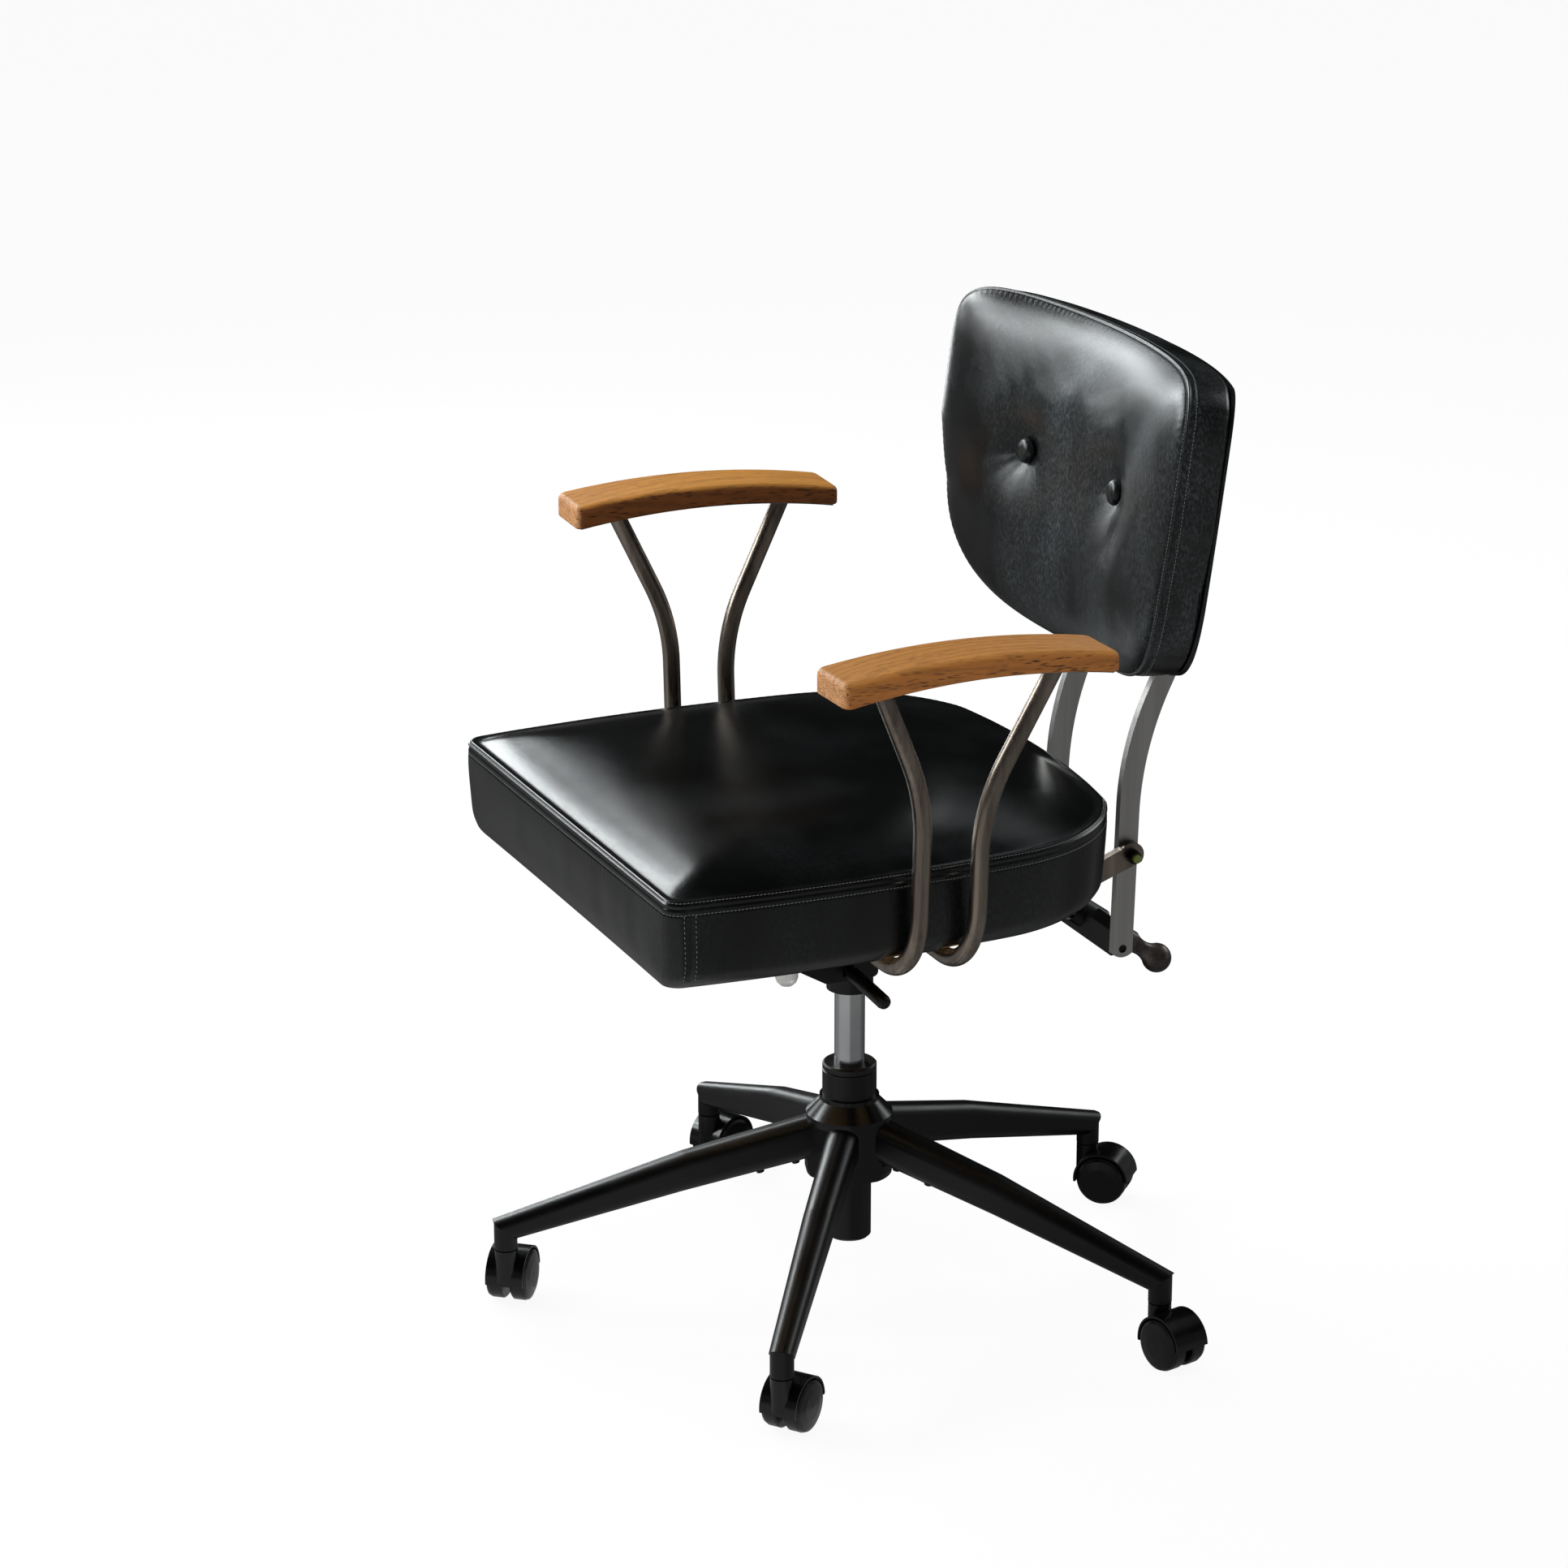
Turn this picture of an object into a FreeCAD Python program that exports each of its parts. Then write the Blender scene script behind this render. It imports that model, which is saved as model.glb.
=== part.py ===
import FreeCAD, Part
import math
import os
import re
import Sketcher
from FreeCAD import Placement, Rotation, Vector

# Office chair on a five-star swivel base: steel base with twin-wheel castors, gas lift,
# upholstered seat, reclining backrest on two flat bars, looped tube arms with wooden rests.
# Millimetres. Origin on the floor on the lift axis, +Z up, the chair faces -Y,
# and +X is the sitter's left. Every size is a named value in the sheet below.
doc = FreeCAD.newDocument("office_chair")
sheet = doc.addObject("Spreadsheet::Sheet", "Sizes")

SIZES = {
    # five-star base
    "stem_circle_radius": 318.2,
    "first_leg_angle": -35.0,
    "leg_root_radius": 30.0,
    "leg_kink_radius": 154.0,
    "leg_root_height": 41.0,
    "leg_root_width": 31.0,
    "leg_root_centre_z": 156.7,
    "leg_kink_height": 37.0,
    "leg_kink_width": 28.0,
    "leg_kink_centre_z": 125.7,
    "leg_tip_height": 22.5,
    "leg_tip_centre_z": 76.7,
    "ferrule_diameter": 21.5,
    "ferrule_bottom_z": 57.2,
    "leg_screw_diameter": 9.0,
    "leg_screw_head": 3.2,
    "leg_screw_first": 50.0,
    "leg_screw_second": 83.0,
    # hub
    "hub_bottom_z": 119.2,
    "hub_top_z": 195.2,
    "hub_bottom_radius": 39.5,
    "hub_waist_radius": 41.0,
    "hub_shoulder_radius": 40.0,
    "hub_shoulder_z": 178.2,
    "hub_neck_radius": 27.5,
    "hub_flat_apothem": 38.0,
    # gas lift
    "column_diameter": 50.0,
    "column_foot_diameter": 41.0,
    "column_foot_z": 54.7,
    "column_top_z": 226.8,
    "column_floor": 6.0,
    "cap_height": 8.6,
    "cap_groove_depth": 1.2,
    "piston_diameter": 28.0,
    "piston_bottom_z": 130.2,
    "socket_bottom_z": 299.2,
    "socket_depth": 23.0,
    "socket_collar_diameter": 43.0,
    "running_gap": 0.1,
    # castors
    "wheel_radius": 24.3,
    "wheel_width": 16.2,
    "wheel_rim_round": 4.0,
    "castor_trail": 18.2,
    "castor_web": 7.0,
    "wheel_side_gap": 0.5,
    "hood_gap": 0.9,
    "hood_wall": 1.9,
    "hood_width": 36.0,
    "neck_diameter": 21.0,
    "neck_top_z": 55.8,
    "stem_diameter": 11.0,
    "stem_bottom_z": 47.5,
    "stem_top_z": 78.2,
    "axle_diameter": 6.0,
    # mechanism under the seat
    "housing_width": 80.0,
    "housing_front_y": -96.0,
    "housing_nose_y": -66.0,
    "housing_nose_z": 336.2,
    "housing_belly_front_y": -42.0,
    "housing_belly_z": 322.2,
    "housing_belly_rear_y": 10.0,
    "housing_rear_z": 354.2,
    "housing_rear_y": 112.0,
    "plate_bottom_z": 410.2,
    "plate_thickness": 2.5,
    "top_plate_width": 176.0,
    "top_plate_front_y": -120.0,
    "top_plate_rear_y": 178.0,
    "lever_y": -20.0,
    "lever_rise": 11.4,
    "lever_root_x": 30.0,
    "lever_tip_x": 121.5,
    "lever_rod_diameter": 10.0,
    "lever_pin_diameter": 5.0,
    "lever_pin_length": 24.0,
    "lever_grip_diameter": 13.5,
    "lever_grip_x": 50.0,
    "lever_droop": 3.4,
    "friction_knob_y": -63.0,
    "friction_knob_diameter": 21.0,
    "friction_knob_bottom_z": 310.2,
    "friction_knob_height": 15.0,
    "friction_screw_diameter": 7.0,
    # seat
    "seat_half_width": 253.0,
    "seat_front_y": -279.0,
    "seat_rear_y": 195.0,
    "seat_bottom_z": 418.2,
    "seat_seam_z": 498.2,
    "seat_crown": 18.0,
    "seat_plateau_inset": 212.0,
    "seat_front_corner": 16.0,
    "seat_side_flare": 7.0,
    "seat_rear_corner_length": 138.0,
    "seat_rear_corner_width": 107.0,
    "seat_board_inset": 35.0,
    "cushion_gap": 0.3,
    # arms
    "arm_front_out": 41.4,
    "arm_toe": 2.2,
    "arm_front_y": -107.0,
    "arm_rear_y": 58.0,
    "arm_tube_diameter": 16.0,
    "arm_front_drop_y": -59.3,
    "arm_rear_drop_y": -4.2,
    "arm_front_knee_z": 576.7,
    "arm_front_knee_out": 25.5,
    "arm_rear_knee_z": 561.0,
    "arm_rear_knee_out": 25.0,
    "arm_knee_bend": 180.0,
    "arm_foot_bend": 70.0,
    "arm_front_foot_out": 15.5,
    "arm_rear_foot_out": 15.0,
    "arm_inner_end_x": 96.0,
    "rest_plate_width": 42.6,
    "rest_plate_thickness": 2.5,
    "rest_plate_radius": 761.0,
    "rest_plate_apex_y": -30.0,
    "rest_plate_apex_z": 686.7,
    "rest_plate_front_y": -148.0,
    "rest_plate_rear_y": 103.0,
    "rest_width": 61.0,
    "rest_front_y": -155.0,
    "rest_rear_y": 106.0,
    "rest_top_radius": 790.0,
    "rest_top_apex_y": -43.0,
    "rest_top_apex_z": 709.0,
    "rest_corner": 9.0,
    "rest_edge_round": 6.0,
    "arm_pad_plate_inset": 48.0,
    "rest_screw_offset": 24.0,
    "rest_screw_head": 8.4,
    "rest_screw_height": 3.0,
    "rest_screw_gap": 0.015,
    "arm_pad_plate_gap": 4.0,
    "arm_pad_plate_front_y": -84.0,
    "arm_pad_plate_rear_y": 20.0,
    # backrest
    "upright_inner_x": 67.0,
    "upright_thickness": 8.0,
    "upright_depth": 20.0,
    "upright_foot_z": 321.2,
    "upright_foot_y": 240.3,
    "upright_bend_z": 517.5,
    "upright_bend_y": 246.1,
    "upright_lean": 25.6,
    "upright_bend_radius": 280.0,
    "upright_top_bend_radius": 30.0,
    "upright_top_length": 95.0,
    "pivot_y": 243.3,
    "pivot_z": 418.4,
    "pivot_bolt_diameter": 8.0,
    "pivot_bolt_head": 13.0,
    "pivot_bolt_head_height": 5.0,
    "pivot_gap": 0.4,
    "bracket_thickness": 8.0,
    "bracket_end_radius": 12.2,
    "bracket_front_y": 118.0,
    "bracket_drop": 25.0,
    "nut_diameter": 13.0,
    "nut_height": 8.5,
    "bolt_tail": 3.0,
    "crossbar_z": 329.2,
    "crossbar_height": 24.0,
    "crossbar_depth": 18.0,
    "crossbar_bolt_diameter": 8.0,
    "strut_angle": 36.0,
    "strut_rise": 4.5,
    "strut_anchor_y": 162.0,
    "rod_diameter": 10.0,
    "rod_slot": 16.5,
    "saddle_diameter": 27.0,
    "saddle_half_length": 17.0,
    "anchor_eye_radius": 11.0,
    "anchor_width": 14.0,
    "anchor_pin_diameter": 8.0,
    "anchor_cheek": 5.0,
    "spring_wire": 3.2,
    "spring_mean_diameter": 19.0,
    "spring_turns": 6.0,
    "collar_diameter": 25.0,
    "collar_offset": 14.0,
    "collar_thickness": 3.0,
    "ball_diameter": 28.0,
    "ball_offset": 92.0,
    "ball_sleeve_diameter": 21.5,
    "ball_neck_diameter": 15.0,
    "back_centre_y": 248.0,
    "back_centre_z": 760.2,
    "back_tilt": 7.4,
    "back_wrap_radius": 547.0,
    "back_half_width": 229.0,
    "back_foot_half_width": 216.0,
    "back_up": 129.0,
    "back_down": 166.0,
    "back_band": 42.0,
    "back_crown": 31.0,
    "back_shoulder": 46.0,
    "shell_thickness": 9.0,
    "shell_wrap_radius": 496.0,
    "shell_foot_inset": 52.0,
    "shell_foot_bulge": 14.0,
    "shell_foot_rise": 28.0,
    "shell_foot_round": 40.0,
    "shell_waist_inset": 14.0,
    "shell_waist_drop": 76.0,
    "back_draft": 0.12,
    "back_corner": 38.0,
    "button_x": 87.4,
    "button_diameter": 23.5,
    "button_thickness": 6.0,
    "button_depth": 24.0,
    "button_drop_right": 4.5,
    "dimple_radius": 62.0,
}

for row, (alias, number) in enumerate(SIZES.items(), start=1):
    sheet.set("A%d" % row, alias)
    sheet.set("B%d" % row, str(number))
    sheet.setAlias("B%d" % row, alias)
doc.recompute()


def v(alias):
    """Value of a named size."""
    return float(sheet.get(alias))


def bound(text):
    """Expression over named sizes, with each name looked up in the sheet."""
    return re.sub(r"[a-z_]{3,}", lambda m: "Sizes." + m.group() if m.group() in SIZES else m.group(), text)


nodes = []


def keep(item, name):
    """Counts an object as a sub-part with a label of its own."""
    item.Label = name
    nodes.append(item)
    return item


def new_body(name):
    return keep(doc.addObject("PartDesign::Body", name), name)


def feature(name, shape):
    """A sub-part whose form is set from the named sizes directly."""
    item = keep(doc.addObject("Part::Feature", name), name)
    item.Shape = shape
    return item


def plane_of(body, role):
    return next(f for f in body.Origin.OriginFeatures if f.Role == role)


def attached(body, role, name, lift="0"):
    sketch = body.newObject("Sketcher::SketchObject", name)
    sketch.AttachmentSupport = [(plane_of(body, role), "")]
    sketch.MapMode = "FlatFace"
    if lift != "0":
        sketch.setExpression(".AttachmentOffset.Base.z", bound(lift))
    return sketch


def fix(sketch, kind, geometry, point, text, name):
    """Ties one coordinate of a sketch point to an expression over the named sizes."""
    if text == "0":
        axis = -2 if kind == "DistanceX" else -1
        sketch.addConstraint(Sketcher.Constraint("PointOnObject", geometry, point, axis))
        return
    index = sketch.addConstraint(Sketcher.Constraint(kind, -1, 1, geometry, point, 1.0))
    sketch.renameConstraint(index, name)
    sketch.setExpression("Constraints." + name, bound(text))


def polygon(body, role, name, points, lift="0"):
    """Closed outline through corner points given as expressions."""
    sketch = attached(body, role, name, lift)
    count = len(points)
    start = [Vector(math.cos(2 * math.pi * i / count), math.sin(2 * math.pi * i / count), 0) for i in range(count)]
    for i in range(count):
        sketch.addGeometry(Part.LineSegment(start[i], start[(i + 1) % count]), False)
    for i in range(count):
        sketch.addConstraint(Sketcher.Constraint("Coincident", i, 2, (i + 1) % count, 1))
    for i, (across, up) in enumerate(points):
        fix(sketch, "DistanceX", i, 1, across, "across%d" % i)
        fix(sketch, "DistanceY", i, 1, up, "up%d" % i)
    return sketch


def disc(body, role, name, centre, diameter, lift="0"):
    """Circle with its centre and diameter given as expressions."""
    sketch = attached(body, role, name, lift)
    sketch.addGeometry(Part.Circle(Vector(1, 1, 0), Vector(0, 0, 1), 2.0), False)
    fix(sketch, "DistanceX", 0, 3, centre[0], "across")
    fix(sketch, "DistanceY", 0, 3, centre[1], "up")
    index = sketch.addConstraint(Sketcher.Constraint("Diameter", 0, 4.0))
    sketch.renameConstraint(index, "diameter")
    sketch.setExpression("Constraints.diameter", bound(diameter))
    return sketch


def turned(name, role, points):
    """Body turned about the sketch's upright axis."""
    body = new_body(name)
    sketch = polygon(body, role, name + "_profile", points)
    spin = body.newObject("PartDesign::Revolution", name + "_turn")
    spin.Profile = sketch
    spin.ReferenceAxis = (sketch, ["V_Axis"])
    spin.Angle = 360
    return body


def extrude(body, kind, name, sketch, length, both=False, reverse=False):
    """Pad or pocket of a sketch by a named length, symmetric when both is set."""
    step = body.newObject("PartDesign::" + kind, name)
    step.Profile = sketch
    step.setExpression("Length", bound(length))
    step.Midplane = both
    step.Reversed = reverse
    return step


def round_edges(body, name, test, radius):
    """Fillet on the edges whose shape passes the test."""
    doc.recompute()
    base = body.Tip
    picked = ["Edge%d" % (i + 1) for i, edge in enumerate(base.Shape.Edges) if test(edge)]
    step = body.newObject("PartDesign::Fillet", name)
    step.Base = (base, picked)
    step.setExpression("Radius", bound(radius))
    return step


def polar(x, y, degrees):
    angle = math.radians(degrees)
    return Vector(x * math.cos(angle) - y * math.sin(angle), x * math.sin(angle) + y * math.cos(angle), 0)


def rounded_section(s, centre_z, width, height):
    """Upright oval section of a leg at distance s from the lift axis."""
    w = width / 2
    h = height / 2
    r = w * 0.86
    q = r * (1 - math.sqrt(0.5))
    corners = []
    for sy, sz in ((1, 1), (-1, 1), (-1, -1), (1, -1)):
        corners.append((sy, sz))
    points = []
    for sy, sz in corners:
        side = Vector(s, sy * w, centre_z + sz * (h - r))
        mid = Vector(s, sy * (w - q), centre_z + sz * (h - q))
        top = Vector(s, sy * (w - r), centre_z + sz * h)
        points.append((side, mid, top))
    a, b, c, d = points
    edges = [
        Part.Arc(a[0], a[1], a[2]).toShape(),
        Part.LineSegment(a[2], b[2]).toShape(),
        Part.Arc(b[2], b[1], b[0]).toShape(),
        Part.LineSegment(b[0], c[0]).toShape(),
        Part.Arc(c[0], c[1], c[2]).toShape(),
        Part.LineSegment(c[2], d[2]).toShape(),
        Part.Arc(d[2], d[1], d[0]).toShape(),
        Part.LineSegment(d[0], a[0]).toShape(),
    ]
    return Part.Wire(edges)


# Hub: a turned boss with a coned shoulder and five flat panels between the legs.
hub = turned("base_hub", "XZ_Plane", [
    ("column_diameter / 2", "hub_bottom_z"),
    ("hub_bottom_radius", "hub_bottom_z"),
    ("hub_waist_radius", "hub_bottom_z + 6"),
    ("hub_waist_radius", "hub_shoulder_z - 8"),
    ("hub_shoulder_radius", "hub_shoulder_z"),
    ("hub_neck_radius", "hub_top_z - 4"),
    ("hub_neck_radius", "hub_top_z"),
    ("column_diameter / 2", "hub_top_z"),
])
flat = polygon(hub, "XY_Plane", "hub_flat_outline", [
    ("hub_flat_apothem", "-hub_waist_radius"),
    ("hub_waist_radius * 2", "-hub_waist_radius"),
    ("hub_waist_radius * 2", "hub_waist_radius"),
    ("hub_flat_apothem", "hub_waist_radius"),
], "hub_bottom_z - 1")
flat.setExpression(".AttachmentOffset.Rotation.Angle", bound("first_leg_angle + 36"))
extrude(hub, "Pocket", "hub_flat", flat, "hub_shoulder_z - hub_bottom_z - 6", reverse=True)
doc.recompute()
flats = hub.newObject("PartDesign::PolarPattern", "hub_flats")
flats.Originals = [doc.getObject("hub_flat")]
flats.Axis = (flat, ["N_Axis"])
flats.Angle = 360
flats.Occurrences = 5
hub.Tip = flats
doc.recompute()

# Legs: tapered oval tubes with a kink half way, mitred into a round socket for the castor.
reach = v("stem_circle_radius")
tube_r = v("ferrule_diameter") / 2
slope = (v("leg_kink_centre_z") - v("leg_tip_centre_z")) / (reach - v("leg_kink_radius"))
overrun = 24.0
tip_z = v("leg_tip_centre_z") - slope * overrun
leg_loft = Part.makeLoft([
    rounded_section(v("leg_root_radius"), v("leg_root_centre_z"), v("leg_root_width"), v("leg_root_height")),
    rounded_section(v("leg_kink_radius"), v("leg_kink_centre_z"), v("leg_kink_width"), v("leg_kink_height")),
    rounded_section(reach + overrun, tip_z, v("ferrule_diameter"), v("leg_tip_height")),
], True, True)
mitre_low = Vector(reach - tube_r, 0, v("leg_tip_centre_z") - v("leg_tip_height") / 2 + 1.5)
mitre_high = Vector(reach + tube_r, 0, v("leg_tip_centre_z") + v("leg_tip_height") / 2 - 4)
mitre_dir = (mitre_high - mitre_low).normalize()
mitre_tilt = Rotation(Vector(1, 0, 0), mitre_dir)
above = Part.makeBox(4 * reach, reach, 2 * reach, Vector(-3 * reach, -reach / 2, 0))
above.Placement = Placement(mitre_low, mitre_tilt)
inner_part = leg_loft.common(above)
ferrule = Part.makeCylinder(tube_r, reach / 4, Vector(reach, 0, v("ferrule_bottom_z"))).cut(above)
leg_shape = inner_part.fuse(ferrule).removeSplitter()
socket_r = v("stem_diameter") / 2 + v("running_gap")
socket = Part.makeCylinder(socket_r, v("stem_top_z") + 1 - v("ferrule_bottom_z"), Vector(reach, 0, v("ferrule_bottom_z")))
leg_shape = leg_shape.cut(socket)
for i in range(5):
    turn = Rotation(Vector(0, 0, 1), v("first_leg_angle") + 72 * i)
    placed = leg_shape.copy()
    placed.Placement = Placement(Vector(0, 0, 0), turn)
    leg = feature("leg_%d" % (i + 1), placed.cut(hub.Shape))

# Two button screws under each leg hold it to the hub's arms.
heads = []
for i in range(5):
    for s in (v("leg_screw_first"), v("leg_screw_second")):
        share = (s - v("leg_root_radius")) / (v("leg_kink_radius") - v("leg_root_radius"))
        low_root = v("leg_root_centre_z") - v("leg_root_height") / 2
        low_kink = v("leg_kink_centre_z") - v("leg_kink_height") / 2
        under = low_root + (low_kink - low_root) * share
        fall = Vector(v("leg_kink_radius") - v("leg_root_radius"), 0, low_kink - low_root)
        head = Part.makeCone(v("leg_screw_diameter") / 2 - 1, v("leg_screw_diameter") / 2, v("leg_screw_head"))
        head.Placement = Placement(Vector(s, 0, under), Rotation(Vector(1, 0, 0), fall))
        head.translate(head.Placement.Rotation.multVec(Vector(0, 0, -v("leg_screw_head"))))
        head.rotate(Vector(0, 0, 0), Vector(0, 0, 1), v("first_leg_angle") + 72 * i)
        heads.append(head)
feature("leg_screws", Part.makeCompound(heads))

# Gas lift: a stepped outer tube pressed into the hub, a plastic guide cap, a chromed piston.
turned("column_tube", "XZ_Plane", [
    ("0", "column_foot_z"),
    ("column_foot_diameter / 2 - 2", "column_foot_z"),
    ("column_foot_diameter / 2", "column_foot_z + 2"),
    ("column_foot_diameter / 2", "hub_bottom_z - 4"),
    ("column_diameter / 2", "hub_bottom_z"),
    ("column_diameter / 2", "column_top_z - cap_height"),
    ("piston_diameter / 2 + running_gap", "column_top_z - cap_height"),
    ("piston_diameter / 2 + running_gap", "column_foot_z + column_floor"),
    ("0", "column_foot_z + column_floor"),
])
turned("column_cap", "XZ_Plane", [
    ("piston_diameter / 2 + running_gap", "column_top_z - cap_height"),
    ("column_diameter / 2", "column_top_z - cap_height"),
    ("column_diameter / 2", "column_top_z - cap_height + 1.2"),
    ("column_diameter / 2 - cap_groove_depth", "column_top_z - cap_height + 1.8"),
    ("column_diameter / 2 - cap_groove_depth", "column_top_z - cap_height + 3"),
    ("column_diameter / 2", "column_top_z - cap_height + 3.6"),
    ("column_diameter / 2", "column_top_z - 1.5"),
    ("column_diameter / 2 - 1.5", "column_top_z"),
    ("piston_diameter / 2 + running_gap", "column_top_z"),
])
turned("gas_piston", "XZ_Plane", [
    ("0", "piston_bottom_z"),
    ("piston_diameter / 2 - 1", "piston_bottom_z"),
    ("piston_diameter / 2", "piston_bottom_z + 1"),
    ("piston_diameter / 2", "socket_bottom_z + socket_depth - 3"),
    ("piston_diameter / 2 - 2", "socket_bottom_z + socket_depth"),
    ("0", "socket_bottom_z + socket_depth"),
])

# Castors: hood, steel stem and axle, and two domed wheels, each castor turned its own way.
HEADINGS = (127.0, 14.0, 47.0, 115.0, 141.0)
for i in range(5):
    tag = "_%d" % (i + 1)
    at = polar(reach, 0, v("first_leg_angle") + 72 * i)
    pose = Placement(at, Rotation(Vector(0, 0, 1), HEADINGS[i]))
    hood = new_body("castor_hood" + tag)
    rim = disc(hood, "XZ_Plane", "hood_rim" + tag, ("castor_trail", "wheel_radius"),
               "2 * (wheel_radius + hood_gap + hood_wall)")
    extrude(hood, "Pad", "hood_drum" + tag, rim, "hood_width", both=True)
    neck = disc(hood, "XY_Plane", "hood_neck_outline" + tag, ("0", "0"), "neck_diameter", "wheel_radius")
    extrude(hood, "Pad", "hood_neck" + tag, neck, "neck_top_z - wheel_radius")
    well = disc(hood, "XZ_Plane", "hood_well_left" + tag, ("castor_trail", "wheel_radius"),
                "2 * (wheel_radius + hood_gap)", "castor_web / 2")
    extrude(hood, "Pocket", "hood_clear_left" + tag, well, "hood_width", reverse=True)
    well = disc(hood, "XZ_Plane", "hood_well_right" + tag, ("castor_trail", "wheel_radius"),
                "2 * (wheel_radius + hood_gap)", "-castor_web / 2")
    extrude(hood, "Pocket", "hood_clear_right" + tag, well, "hood_width")
    skirt = polygon(hood, "XZ_Plane", "hood_skirt" + tag, [
        ("castor_trail - 2 * wheel_radius", "-wheel_radius"),
        ("castor_trail + 2 * wheel_radius", "-wheel_radius"),
        ("castor_trail + 2 * wheel_radius", "wheel_radius + 12"),
        ("castor_trail + 8", "wheel_radius - 8"),
        ("castor_trail - 8", "wheel_radius - 8"),
        ("castor_trail - 2 * wheel_radius", "wheel_radius + 2"),
    ])
    extrude(hood, "Pocket", "hood_open" + tag, skirt, "hood_width * 2", both=True)
    bore = disc(hood, "XZ_Plane", "axle_bore" + tag, ("castor_trail", "wheel_radius"), "axle_diameter")
    extrude(hood, "Pocket", "axle_hole" + tag, bore, "hood_width", both=True)
    hole = disc(hood, "XY_Plane", "stem_bore" + tag, ("0", "0"), "stem_diameter", "stem_bottom_z")
    extrude(hood, "Pocket", "stem_hole" + tag, hole, "neck_top_z", reverse=True)
    hood.Placement = pose
    stem = Part.makeCylinder(v("stem_diameter") / 2, v("stem_top_z") - v("stem_bottom_z"),
                             Vector(0, 0, v("stem_bottom_z")))
    axle_length = v("castor_web") + 2 * (v("wheel_side_gap") + v("wheel_width")) - 6
    axle = Part.makeCylinder(v("axle_diameter") / 2, axle_length,
                             Vector(v("castor_trail"), -axle_length / 2, v("wheel_radius")), Vector(0, 1, 0))
    pins = feature("castor_pins" + tag, Part.makeCompound([stem, axle]))
    pins.Placement = pose
    for side, facing in (("left", 0), ("right", 180)):
        wheel = turned("wheel_%s%s" % (side, tag), "XY_Plane", [
            ("axle_diameter / 2 + running_gap", "castor_web / 2 + wheel_side_gap"),
            ("wheel_radius - 1.5", "castor_web / 2 + wheel_side_gap"),
            ("wheel_radius", "castor_web / 2 + wheel_side_gap + 1.5"),
            ("wheel_radius", "castor_web / 2 + wheel_side_gap + wheel_width - wheel_rim_round - 1"),
            ("wheel_radius - 1.2", "castor_web / 2 + wheel_side_gap + wheel_width - wheel_rim_round / 2"),
            ("wheel_radius - wheel_rim_round", "castor_web / 2 + wheel_side_gap + wheel_width - 0.8"),
            ("wheel_radius / 2", "castor_web / 2 + wheel_side_gap + wheel_width + 0.6"),
            ("0", "castor_web / 2 + wheel_side_gap + wheel_width + 1"),
            ("0", "castor_web / 2 + wheel_side_gap + wheel_width - 2.9"),
            ("axle_diameter / 2 + running_gap", "castor_web / 2 + wheel_side_gap + wheel_width - 2.9"),
        ])
        spun = Rotation(Vector(0, 0, 1), facing)
        wheel.Placement = pose * Placement(Vector(v("castor_trail"), 0, v("wheel_radius")), spun)

# Seat mechanism: a closed housing with a sloping nose, a socket for the piston and a top plate.
housing = new_body("mechanism_housing")
side = polygon(housing, "YZ_Plane", "housing_side", [
    ("housing_front_y", "plate_bottom_z"),
    ("housing_front_y", "housing_nose_z + 24"),
    ("housing_nose_y", "housing_nose_z"),
    ("housing_belly_front_y", "housing_belly_z"),
    ("housing_belly_rear_y", "housing_belly_z"),
    ("housing_belly_rear_y", "housing_belly_z + 16"),
    ("housing_rear_y - 50", "housing_rear_z"),
    ("housing_rear_y", "housing_rear_z + 28"),
    ("housing_rear_y", "plate_bottom_z"),
])
extrude(housing, "Pad", "housing_block", side, "housing_width", both=True)
round_edges(housing, "housing_round", lambda e: e.Length > v("housing_width") - 1 and e.Length < v("housing_width") + 1
            and abs(e.Vertexes[0].Z - e.Vertexes[1].Z) < 0.01 and e.Vertexes[0].Z < v("plate_bottom_z") - 1, "5")
lid = polygon(housing, "XY_Plane", "top_plate_outline", [
    ("-top_plate_width / 2", "top_plate_front_y"),
    ("top_plate_width / 2", "top_plate_front_y"),
    ("top_plate_width / 2", "top_plate_rear_y"),
    ("-top_plate_width / 2", "top_plate_rear_y"),
], "plate_bottom_z")
extrude(housing, "Pad", "top_plate", lid, "plate_thickness")
collar = disc(housing, "XY_Plane", "collar_outline", ("0", "0"), "socket_collar_diameter", "socket_bottom_z")
extrude(housing, "Pad", "collar", collar, "housing_belly_z + 20 - socket_bottom_z")
bore = disc(housing, "XY_Plane", "socket_outline", ("0", "0"), "piston_diameter + 2 * running_gap", "socket_bottom_z")
extrude(housing, "Pocket", "socket_bore", bore, "socket_depth + running_gap", reverse=True)
gate = polygon(housing, "YZ_Plane", "lever_gate_outline", [
    ("lever_y - lever_rod_diameter / 2 - 0.4", "housing_belly_z + lever_rise - lever_rod_diameter / 2 - 2"),
    ("lever_y + lever_rod_diameter / 2 + 0.4", "housing_belly_z + lever_rise - lever_rod_diameter / 2 - 2"),
    ("lever_y + lever_rod_diameter / 2 + 0.4", "housing_belly_z + lever_rise + lever_rod_diameter / 2 + 4"),
    ("lever_y - lever_rod_diameter / 2 - 0.4", "housing_belly_z + lever_rise + lever_rod_diameter / 2 + 4"),
], "lever_root_x - 4")
extrude(housing, "Pocket", "lever_gate", gate, "housing_width", reverse=True)
pin_bore = disc(housing, "XZ_Plane", "lever_pin_bore_outline", ("lever_root_x", "housing_belly_z + lever_rise"),
                "lever_pin_diameter + 2 * running_gap", "-lever_y")
extrude(housing, "Pocket", "lever_pin_bore", pin_bore, "lever_pin_length + 2 * pivot_gap", both=True)
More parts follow.
